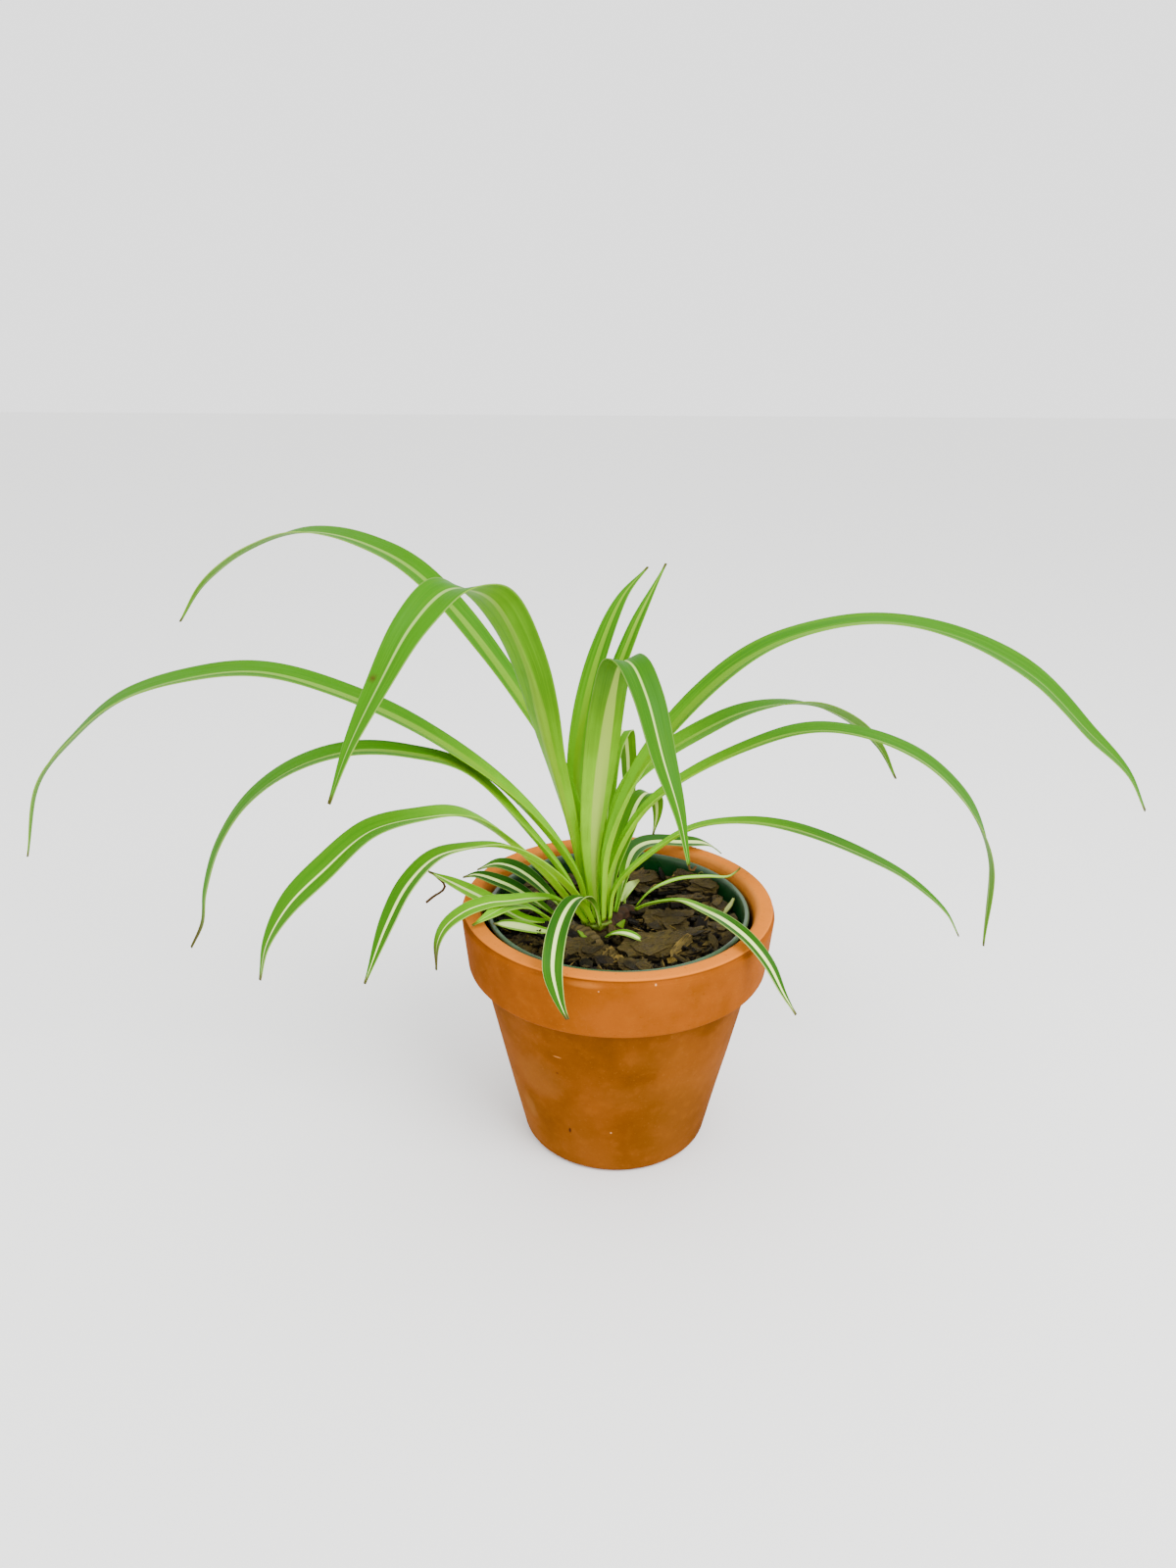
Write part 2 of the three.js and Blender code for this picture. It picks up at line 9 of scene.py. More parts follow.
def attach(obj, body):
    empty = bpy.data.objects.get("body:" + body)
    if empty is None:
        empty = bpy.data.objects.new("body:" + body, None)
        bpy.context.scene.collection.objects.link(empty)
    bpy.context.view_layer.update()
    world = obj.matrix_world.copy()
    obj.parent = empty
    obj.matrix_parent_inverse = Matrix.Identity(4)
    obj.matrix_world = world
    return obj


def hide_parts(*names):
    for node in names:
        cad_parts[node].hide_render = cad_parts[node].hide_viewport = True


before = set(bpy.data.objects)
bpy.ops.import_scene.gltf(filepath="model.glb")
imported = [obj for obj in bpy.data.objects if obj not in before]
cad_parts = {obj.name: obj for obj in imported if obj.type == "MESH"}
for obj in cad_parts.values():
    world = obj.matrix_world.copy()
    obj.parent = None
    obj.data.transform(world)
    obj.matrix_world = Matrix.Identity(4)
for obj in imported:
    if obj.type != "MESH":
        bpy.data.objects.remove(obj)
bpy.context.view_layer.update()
mm = 0.001  # the tables below are in millimetres, Blender is in metres
noise.seed_set(5)  # without it noise_vector differs from run to run


# Materials

def colour(red, green, blue):
    # a screen colour, 0 to 255, as Blender's linear one
    def linear(value):
        value /= 255
        return value / 12.92 if value < 0.04045 else ((value + 0.055) / 1.055) ** 2.4
    return (linear(red), linear(green), linear(blue), 1)


class Finish:
    # a material in the making: each method adds a node and returns its output
    def __init__(self, name, **shader):
        self.material = bpy.data.materials.new(name)
        self.material.use_nodes = True
        self.tree = self.material.node_tree
        self.surface = self.tree.nodes["Principled BSDF"]
        for socket, value in shader.items():
            self.surface.inputs[socket.replace("_", " ")].default_value = value
        self.place = self.node("TexCoord").outputs["Object"]

    def node(self, kind, inputs=None, **settings):
        made = self.tree.nodes.new("ShaderNode" + kind)
        for name, value in settings.items():
            setattr(made, name, value)
        for key, value in (inputs or {}).items():
            if isinstance(value, bpy.types.NodeSocket):
                self.tree.links.new(value, made.inputs[key])
            else:
                made.inputs[key].default_value = value
        return made

    def attribute(self, name):
        return self.node("Attribute", attribute_name=name).outputs["Fac"]

    def maths(self, operation, first, second=0.0):
        return self.node("Math", {0: first, 1: second}, operation=operation).outputs[0]

    def times(self, *values):
        product = values[0]
        for value in values[1:]:
            product = self.maths("MULTIPLY", product, value)
        return product

    def fade(self, value, start, end, low=0.0, high=1.0):
        # low up to start, high from end on, smooth between
        inputs = {"Value": value, "From Min": start, "From Max": end, "To Min": low, "To Max": high}
        return self.node("MapRange", inputs, interpolation_type="SMOOTHSTEP").outputs["Result"]

    def vectorMaths(self, operation, first, second=(0, 0, 0)):
        return self.node("VectorMath", {0: first, 1: second}, operation=operation).outputs

    def noise(self, vector, scale, detail=3.0, rough=0.55):
        inputs = {"Vector": vector, "Scale": scale, "Detail": detail, "Roughness": rough}
        return self.node("TexNoise", inputs).outputs[0]

    def stretched(self, vector, scale, centre=(0, 0, 0)):
        return self.node("Mapping", {"Vector": vector, "Scale": scale, "Location": centre}).outputs[0]

    def height(self):
        return self.node("SeparateXYZ", {0: self.place}).outputs["Z"]

    def mix(self, share, first, second):
        # colours are outputs of nodes, or red, green and blue
        first, second = (colour(*shade) if isinstance(shade, tuple) else shade for shade in (first, second))
        return self.node("Mix", {0: share, 6: first, 7: second}, data_type="RGBA").outputs[2]

    def bump(self, height, strength, depth, before=None):
        # depth in millimetres
        inputs = {"Height": height, "Strength": strength, "Distance": depth * mm}
        if before:
            inputs["Normal"] = before
        return self.node("Bump", inputs).outputs[0]

    def done(self, base, roughness, normal):
        for socket, value in (("Base Color", base), ("Roughness", roughness), ("Normal", normal)):
            self.tree.links.new(value, self.surface.inputs[socket])
        return self.material


# Pieces

def asMesh(bm, name):
    mesh = bpy.data.meshes.new(name)
    bm.to_mesh(mesh)
    bm.free()
    return mesh


def addObject(name, data):
    made = bpy.data.objects.new(name, data)
    bpy.context.scene.collection.objects.link(made)
    return made


def finishPiece(name, bm, materials, slot, *nodes):
    piece = addObject(name, asMesh(bm, name))
    piece.data.shade_smooth()
    for material in materials:
        piece.data.materials.append(material)
    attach(piece, "root")
    if nodes:
        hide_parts(*nodes)
    return piece


def turned(angle, axis):
    return Matrix.Rotation(angle, 4, axis)


def arc(radius, height, size, start, end, steps=6):
    # points of an arc round (radius, height), angles in degrees
    points = []
    for i in range(steps + 1):
        angle = math.radians(start + (end - start) * i / steps)
        points.append((radius + size * math.cos(angle), height + size * math.sin(angle)))
    return points


def spinOutline(bm, outline, steps, closed=False):
    # turns (radius, height) points round the z axis
    corners = [bm.verts.new((radius * mm, 0, height * mm)) for radius, height in outline]
    edges = [bm.edges.new(pair) for pair in zip(corners, corners[1:])]
    if closed:
        edges.append(bm.edges.new((corners[-1], corners[0])))
    bmesh.ops.spin(bm, geom=corners + edges, cent=(0, 0, 0), axis=(0, 0, 1), angle=2 * math.pi,
                   steps=steps, use_merge=True, use_duplicate=False)
    bmesh.ops.remove_doubles(bm, verts=bm.verts, dist=0.02 * mm)
    bmesh.ops.recalc_face_normals(bm, faces=bm.faces)


def slopePoints(start, end, step):
    # points every step or so from start up to, but without, end
    count = max(1, round(math.dist(start, end) / step))
    return [tuple(a + (b - a) * i / count for a, b in zip(start, end)) for i in range(count)]


# Clay pot
clayPot = {
    "rimRadius": 77.5,
    "innerRimRadius": 68,
    "height": 129,
    "collarHeight": 32,
    "collarFootRadius": 74.9,
    "neckRadius": 68.4,
    "footRadius": 48,
    "floorRadius": 43,
    "floorThickness": 10,
    "drainRadius": 8,
    "lip": 3,
    "foot": 4,
    "grooveHeight": 127.4,  # the fine groove under the outer edge of the rim
    "grooveDepth": 0.3,
    "steps": 192,
    "unevenness": 0.22,  # how far the surface wanders from round
}

# Stains, scuffs and nicks: place, reach along x, y and z, strength, and colour
clayMarks = {
    "limeLeft": ((-37, -47, 56), (17, 17, 15), 0.3, (124, 76, 26)),
    "limeLow": ((-43, -33, 30), (6, 6, 9), 0.4, (132, 84, 34)),
    "limeRight": ((9, -59, 55), (21, 15, 12), 0.3, (122, 70, 16)),
    "limeTop": ((17, -62, 76), (20, 15, 11), 0.25, (118, 68, 14)),
    "limeBack": ((28, 54, 62), (24, 15, 16), 0.3, (124, 76, 26)),
    "limeBackLeft": ((-46, 34, 40), (16, 20, 12), 0.3, (124, 76, 26)),
    "scuff": ((-16, -75, 125.5), (9, 6, 1.6), 0.5, (172, 98, 30)),
    "scratch": ((-29, -57, 75), (2.6, 6, 0.5), 0.8, (186, 116, 50)),
    "nick": ((-23, -48, 26), (0.8, 6, 2.2), 0.9, (40, 16, 2)),
    "dotLow": ((-3, -54, 29), (0.5, 6, 0.6), 0.8, (226, 168, 110)),
    "dotLeft": ((-10, -76, 123), (0.4, 6, 0.4), 0.8, (214, 150, 92)),
    "dotRight": ((15, -76, 126), (0.4, 6, 0.4), 0.8, (220, 160, 104)),
    "darkDot": ((-29, -54, 64), (0.8, 6, 0.9), 0.7, (70, 32, 4)),
    "speckBack": ((-24, 72, 108), (0.6, 6, 0.6), 0.9, (214, 150, 92)),
}


def clayMark(finish, ragged, base, place, reach, strength, shade):
    # a soft-edged spot of another colour
    scale = [1 / (size * mm) for size in reach]
    centre = [-spot * mm * size for spot, size in zip(place, scale)]
    offset = finish.stretched(finish.place, scale, centre)
    worn = finish.maths("ADD", finish.vectorMaths("LENGTH", offset)[1], ragged)
    return finish.mix(finish.times(finish.fade(worn, 1.15, 0.35), strength), base, shade)


def clayMaterial():
    f = Finish("bakedClay", Specular_IOR_Level=0.04)
    height = f.height()
    radius = f.vectorMaths("LENGTH", f.vectorMaths("MULTIPLY", f.place, (1, 1, 0))[0])[1]
    patches = f.noise(f.place, 24, 4)
    clouds = f.noise(f.stretched(f.place, (1, 1, 0.6), (3, 1, 2)), 12, 2)
    grain = f.noise(f.place, 900, 2, 0.7)
    pores = f.noise(f.stretched(f.place, (0.35, 0.35, 1)), 1500, 2, 0.6)

    body = f.mix(f.fade(patches, 0.35, 0.68), (118, 62, 4), (94, 49, 0))
    body = f.mix(f.times(f.fade(clouds, 0.5, 0.7), 0.35), body, (122, 72, 18))
    # the collar is drier and more orange than the body, and the top of the rim paler still
    collar = f.mix(f.fade(patches, 0.3, 0.7), (140, 71, 6), (112, 56, 0))
    collarFoot = (clayPot["height"] - clayPot["collarHeight"]) * mm
    base = f.mix(f.fade(height, collarFoot - 1 * mm, collarFoot + 1 * mm), body, collar)
    # painted shade: the body is darker just under the overhang of the collar
    underCollarShade = f.times(f.fade(height, collarFoot - 16 * mm, collarFoot - 2 * mm),
                   f.fade(height, collarFoot + 0.5 * mm, collarFoot - 1 * mm), 0.3)
    base = f.mix(underCollarShade, base, (74, 38, 0))
    ragged = f.times(f.maths("SUBTRACT", patches, 0.5), 1.6)
    for mark in clayMarks.values():
        base = clayMark(f, ragged, base, *mark)
    top = f.fade(height, (clayPot["grooveHeight"] + 0.2) * mm, (clayPot["height"] - 0.4) * mm)
    base = f.mix(f.times(top, 0.9), base, (204, 112, 22))
    # inside the collar it is pale at the top, and lower in the gap it is painted dark: painted shade
    # between the clay wall and the plastic pot
    inside = f.times(f.fade(radius, 71 * mm, 69 * mm),
                     f.fade(height, collarFoot + 2 * mm, collarFoot + 8 * mm))
    base = f.mix(inside, base, f.mix(f.fade(height, 119 * mm, 125 * mm), (44, 24, 8), (190, 112, 42)))
    # painted shade: a thin dark line along the fine groove under the outer edge of the rim
    away = f.maths("ABSOLUTE", f.maths("SUBTRACT", height, clayPot["grooveHeight"] * mm))
    groove = f.times(f.fade(away, 0.7 * mm, 0.1 * mm), f.fade(radius, 75 * mm, 76 * mm), 0.25)
    base = f.mix(groove, base, (84, 40, 2))
    mottle = f.times(f.fade(f.noise(f.place, 150, 4), 0.5, 0.7), 0.14)
    base = f.mix(mottle, base, (150, 84, 20))
    base = f.mix(f.times(f.fade(grain, 0.6, 0.74), 0.22), base, (158, 98, 36))
    base = f.mix(f.times(f.fade(pores, 0.36, 0.26), 0.3), base, (60, 28, 2))
    # fine rings of the wheel, then the pores and the grain
    rings = f.noise(f.stretched(f.place, (0.15, 0.15, 1)), 520, 2)
    normal = f.bump(grain, 0.35, 0.12, f.bump(pores, 0.3, 0.12, f.bump(rings, 0.22, 0.3)))
    return f.done(base, f.fade(patches, 0.3, 0.7, 0.74, 0.92), normal)


def makeClayPot():
    p = clayPot
    collarFoot = p["height"] - p["collarHeight"]
    groove, depth = p["grooveHeight"], p["grooveDepth"]
    edge = p["rimRadius"] - 0.9
    outline = [(p["drainRadius"], 0)]
    outline += slopePoints((p["drainRadius"] + 1, 0), (p["footRadius"] - p["foot"], 0), 6)
    outline += arc(p["footRadius"] - p["foot"], p["foot"], p["foot"], -90, -12)
    outline += slopePoints(outline[-1], (p["neckRadius"], collarFoot - 1), 4)[1:]
    outline += [(p["neckRadius"], collarFoot - 1), (p["neckRadius"] + 0.4, collarFoot - 0.3)]
    outline += arc(p["collarFootRadius"] - 2, collarFoot + 2, 2, -85, 0)
    outline += slopePoints(outline[-1], (p["rimRadius"], groove - 2.4), 3)[1:]
    outline += arc(p["rimRadius"] - 1.2, groove - 2.2, 1.2, 0, 70, 3)
    outline += [(edge - depth, groove - 0.2), (edge - depth, groove + 0.1), (edge - 0.1, groove + 0.5)]
    outline += arc(edge - 0.9, p["height"] - 0.9, 0.9, 20, 90, 4)
    outline += arc(p["innerRimRadius"] + p["lip"], p["height"] - p["lip"], p["lip"], 90, 180, 8)
    floor = arc(p["floorRadius"] - p["foot"], p["floorThickness"] + p["foot"], p["foot"], -12, -90)
    outline += slopePoints(outline[-1], floor[0], 5)[1:] + floor
    outline += [(p["drainRadius"] + 1, p["floorThickness"]), (p["drainRadius"], p["floorThickness"] - 1)]

    bm = bmesh.new()
    spinOutline(bm, outline, p["steps"], closed=True)
    for vert in bm.verts:
        # the pot is thrown by hand, so it is never quite round
        if vert.co.z > 6 * mm:
            wander = noise.noise(vert.co * 22) + 0.3 * noise.noise(vert.co * 90)
            outward = Vector((vert.co.x, vert.co.y, 0)).normalized()
            vert.co += outward * wander * p["unevenness"] * mm
    finishPiece("clayPotBody", bm, [clayMaterial()], "clay", "clay_pot")
    print("clay pot made")


# Plastic pot inside the clay one
plasticPot = {
    "rimRadius": 65.3,
    "beadRadius": 1.3,
    "wall": 1,
    "top": 125.8,
    "bottom": 10.3,
    "neckRadius": 63.2,
    "footRadius": 41,
    "holes": 6,
    "holeRadius": 4,
    "holeCircle": 27,
    "steps": 144,
}


def plasticMaterial():
    f = Finish("greenPlastic", Specular_IOR_Level=0.35)
    height = f.height()
    cloud = f.noise(f.place, 60, 3)
    base = f.mix(cloud, (2, 38, 8), (6, 54, 18))
    # the bead is painted paler and greyer
    base = f.mix(f.times(f.fade(height, 123.4 * mm, 125 * mm), 0.55), base, (70, 94, 68))
    # dust and splashed mix low on the inside
    dust = f.times(f.fade(f.noise(f.place, 240, 4), 0.5, 0.75), f.fade(height, 122 * mm, 112 * mm), 0.5)
    base = f.mix(dust, base, (34, 30, 12))
    return f.done(base, f.fade(cloud, 0.3, 0.7, 0.22, 0.42), f.bump(f.noise(f.place, 700, 2), 0.12, 0.1))


def makePlasticPot():
    p = plasticPot
    beadHeight = p["top"] - p["beadRadius"]
    beadCentre = p["rimRadius"] - p["beadRadius"]
    neck = beadHeight - 3
    outline = [(0, p["bottom"])]
    outline += slopePoints((4, p["bottom"]), (p["footRadius"] - 2, p["bottom"]), 4)
    outline += arc(p["footRadius"] - 2, p["bottom"] + 2, 2, -90, 0)
    outline += slopePoints(outline[-1], (p["neckRadius"], neck), 6)[1:] + [(p["neckRadius"], neck)]
    outline += arc(beadCentre, beadHeight, p["beadRadius"], -60, 150, 14)
    inner = [(p["neckRadius"] - p["wall"], neck), (p["footRadius"] - p["wall"], p["bottom"] + 2)]
    outline += slopePoints(inner[0], inner[1], 6) + [inner[1]]
    outline += [(p["footRadius"] - 2, p["bottom"] + p["wall"]), (0, p["bottom"] + p["wall"])]

    bm = bmesh.new()
    spinOutline(bm, outline, p["steps"])
    pot = finishPiece("plasticPot", bm, [plasticMaterial()], "plastic", "nursery_pot")

    drills = bmesh.new()
    for i in range(p["holes"]):
        place = turned(2 * math.pi * i / p["holes"], "Z")
        place @= Matrix.Translation((p["holeCircle"] * mm, 0, p["bottom"] * mm))
        bmesh.ops.create_cone(drills, cap_ends=True, segments=24, radius1=p["holeRadius"] * mm,
                              radius2=p["holeRadius"] * mm, depth=6 * mm, matrix=place)
    drill = addObject("drills", asMesh(drills, "drills"))
    cut = pot.modifiers.new("drainHoles", "BOOLEAN")
    cut.object = drill
    cut.operation = "DIFFERENCE"
    drilled = bpy.data.meshes.new_from_object(pot.evaluated_get(bpy.context.evaluated_depsgraph_get()))
    pot.modifiers.clear()
    pot.data = drilled
    bpy.data.objects.remove(drill)
    print("plastic pot made")


# Bark mix
barkMix = {
    "level": 111.3,  # surface in the middle of the pot
    "flatRadius": 34,
    "edgeLevel": 115,  # surface at the wall
    "heap": 3.5,  # how much higher the mix lies on the right
    "heapSide": (0.85, 0.5),
    "bottom": 11.6,
    "footRadius": 39.4,
    "topRadius": 60,
    "lumps": 1.4,  # how far the bed rises and falls
    "sunk": 2,  # how far the bed lies below the tops of the chips
    "clearance": 0.4,  # to the wall of the plastic pot
    "chips": 250,
    "chipLength": (6, 15),
    "chipTones": (0.05, 0.3, 0.45, 0.6),  # 0 nearly black, 1 tan
    "paleShare": 0.04,  # of the chips and scraps
    "scraps": 300,
    "scrapLength": (2.5, 6),
    "crumbs": 420,
    "splinters": 70,
    "seed": 5,
    # centre and radius of the places that no small chip lies on
    "bareSpots": [(-10.5, 2, 10), (-26, 4.5, 7.5), (7, 21, 6.5), (-20, -6, 5), (-15, -12, 5.5),
                  (-10, -18, 4), (-4, 3, 4.5), (1, 10, 5)],
}

# Large pieces of bark: centre, length, width, thickness, turn from the x axis, tilt, and how light they are
largeChips = [
    (22, -20, 40, 18, 4, 8, 10, 0.62),
    (25, 3, 23, 16, 3.5, -8, 14, 0.42),
    (38, 23, 20, 12, 3, 12, -12, 0.5),
    (47, 33, 14, 10, 3, -20, 18, 0.6),
    (15, 47, 17, 11, 3, 20, 16, 0.55),
    (37, 43, 14, 9, 3, -35, 20, 0.5),
    (29, 36, 15, 9, 2.5, 5, -8, 0.45),
    (52, 12, 13, 9, 3, 70, 16, 0.4),
    (41, -13, 14, 9, 3, 40, -14, 0.3),
    (50, -9, 12, 8, 2.5, -30, 12, 0.35),
    (-12, -27, 15, 9, 3.5, 20, 12, 0.42),
    (-4, -30, 11, 8, 2.5, 65, 38, 0.7),
    (-21, -23, 18, 13, 4, -12, 8, 0.5),
    (-34, -19, 13, 9, 3, 30, -10, 0.35),
    (-44, 37, 15, 10, 3, 60, 8, 0.55),
    (-42, -8, 14, 9, 3, 80, 10, 0.25),
    (-24, 44, 18, 11, 3, -15, 12, 0.45),
    (-3, 38, 16, 10, 3, 35, -10, 0.5),
    (-48, 14, 16, 10, 3, 95, -8, 0.3),
    (8, -42, 16, 9, 3, -10, 12, 0.35),
]

crowns = [  # centre, radius under the mix, at its surface and at the top, and top height
    (-10.5, 2, 9, 5.2, 7.8, 117.3),
    (-26, 4.5, 6, 4.6, 5.4, 113),
    (7, 21, 4, 3.6, 4, 113.2),
]


def barkMaterial():
    f = Finish("darkBark", Specular_IOR_Level=0.15)
    grain = f.node("UVMap", uv_map="grain").outputs[0]
    tone = f.attribute("tone")  # 0 nearly black, 0.5 grey-brown, 1 tan inner bark
    layers = f.noise(f.stretched(grain, (0.2, 1.5, 1)), 1100, 4, 0.65)
    patches = f.noise(f.place, 160, 3)
    dark = f.mix(patches, (8, 5, 2), (22, 15, 8))
    middle = f.mix(patches, (50, 35, 10), (80, 68, 28))
    base = f.mix(f.fade(tone, 0.05, 0.6), dark, middle)
    base = f.mix(f.fade(tone, 0.72, 0.98), base, (128, 104, 46))
    # cracks between the layers, and their worn edges
    base = f.mix(f.times(f.fade(layers, 0.5, 0.36), 0.75), base, (6, 4, 2))
    worn = f.times(f.fade(layers, 0.58, 0.72), f.fade(tone, 0.2, 0.7, 0.1, 0.5))
    base = f.mix(worn, base, (122, 106, 54))
    olive = f.times(f.fade(f.noise(f.place, 85, 2), 0.55, 0.7), 0.3)
    base = f.mix(olive, base, (44, 44, 12))
    normal = f.bump(f.noise(f.place, 1300, 3), 0.5, 0.4, f.bump(layers, 1, 1.2))
    return f.done(base, f.fade(patches, 0.3, 0.7, 0.38, 0.8), normal)


def bedHeight(x, y):
    p = barkMix
    rise = max(math.hypot(x, y) - p["flatRadius"], 0) / (p["topRadius"] - p["flatRadius"])
    heaped = max((x * p["heapSide"][0] + y * p["heapSide"][1]) / p["topRadius"], 0)
    return p["level"] + (p["edgeLevel"] - p["level"]) * rise + p["heap"] * heaped ** 2


def keepInside(spot):
    # moves a place in millimetres back inside the plastic pot, whose wall runs straight from its floor
    # to its neck
    p = plasticPot
    slope = (p["neckRadius"] - p["footRadius"]) / (p["top"] - p["bottom"] - 6)
    most = p["footRadius"] - p["wall"] + (spot.z - p["bottom"] - 2) * slope - barkMix["clearance"]
    reach = math.hypot(spot.x, spot.y)
    if reach > most:
        spot.x *= most / reach
        spot.y *= most / reach
    return spot


def newChip():
    part = bmesh.new()
    part.loops.layers.uv.new("grain")
    part.verts.layers.float.new("tone")
    return part


def chipTemplate(sides, crowned):
    # a flat many-sided slab; a crowned one has its top cut once more, so that it can be uneven
    part = newChip()
    bmesh.ops.create_cone(part, cap_ends=True, segments=sides, radius1=0.46, radius2=0.5, depth=1)
    if crowned:
        tops = [face for face in part.faces if len(face.verts) > 4]
        bmesh.ops.inset_individual(part, faces=tops, thickness=0.14, depth=0.04)
        edges = [edge for edge in part.edges if edge.calc_length() > 0.8]
        bmesh.ops.subdivide_edges(part, edges=edges, cuts=1)
    bmesh.ops.triangulate(part, faces=part.faces)
    return asMesh(part, "chip")


def slabTemplate(cuts):
    # a finer slab for the large pieces
    part = newChip()
    bmesh.ops.create_cube(part, size=1)
    bmesh.ops.subdivide_edges(part, edges=part.edges, cuts=cuts, use_grid_fill=True)
    return asMesh(part, "slab")


def addMesh(bm, mesh):
    # adds a mesh and returns its vertices and faces
    vertCount, faceCount = len(bm.verts), len(bm.faces)
    bm.from_mesh(mesh)
    bm.verts.ensure_lookup_table()
    bm.faces.ensure_lookup_table()
    return bm.verts[vertCount:], bm.faces[faceCount:]


# How uneven a chip is: waves round its outline with their depths, and how its tone varies
chipShape = {
    "outline": [(2, 0.35), (6, 0.25)],
    "crumble": 0.55,  # how fine the roughness of its faces is
    "shadedSides": -0.4,  # painted shade: its sides and underside are darker than its top
    "edgeHighlight": 0.12,  # painted highlight: the edge of its top is lighter
    "patches": 0.12,
}


def addChip(bm, template, size, place, tone, rough):
    # a ragged piece of bark of this size in millimetres
    s = chipShape
    verts, faces = addMesh(bm, template)
    grain = bm.loops.layers.uv["grain"]
    toneLayer = bm.verts.layers.float["tone"]
    shift = random.uniform(0, 50)
    for face in faces:
        for loop in face.loops:
            spot = loop.vert.co
            loop[grain].uv = ((spot.x * size[0] + shift) * mm, (spot.y * size[1] + spot.z * size[2]) * mm)
    for vert in verts:
        angle = math.atan2(vert.co.y, vert.co.x)
        # the outline is alike at the top and the bottom
        uneven = 1
        for waves, depth in s["outline"]:
            uneven += depth * noise.noise(Vector((waves * math.cos(angle), waves * math.sin(angle), shift)))
        spot = Vector((vert.co.x * size[0] * uneven, vert.co.y * size[1] * uneven, vert.co.z * size[2]))
        warp = 0.5 * rough * noise.noise(Vector((spot.x * 0.12, spot.y * 0.2, shift)))
        spot += rough * noise.noise_vector(spot * s["crumble"] + Vector((shift, 0, 0))) * 0.6
        spot.z += 2 * warp
        vert[toneLayer] = tone + s["patches"] * noise.noise(spot * 0.5)
        # painted shade on the sides and underside, painted highlight on the edge of the top
        if vert.co.z < 0.4:
            vert[toneLayer] += s["shadedSides"]
        elif max(abs(vert.co.x), abs(vert.co.y)) > 0.36:
            vert[toneLayer] += s["edgeHighlight"]
        vert.co = keepInside(place @ spot) * mm


def chipPlace(x, y, rise, tilt):
    # lies on the bed, turned any way round and tipped a little
    return (Matrix.Translation((x, y, bedHeight(x, y) + rise))
            @ turned(random.uniform(0, 2 * math.pi), "Z")
            @ turned(random.gauss(0, tilt), "X") @ turned(random.gauss(0, tilt), "Y"))


def scatterSpot():
    # somewhere on the mix, but not on a crown, the old stem or the root
    while True:
        reach = (barkMix["topRadius"] - 3) * math.sqrt(random.random())
        angle = random.uniform(0, 2 * math.pi)
        x, y = reach * math.cos(angle), reach * math.sin(angle)
        if all(math.hypot(x - spot[0], y - spot[1]) > spot[2] for spot in barkMix["bareSpots"]):
            return x, y


def spinMesh(outline, steps):
    # an outline spun on its own, as a mesh
    part = bmesh.new()
    spinOutline(part, outline, steps)
    return asMesh(part, "part")


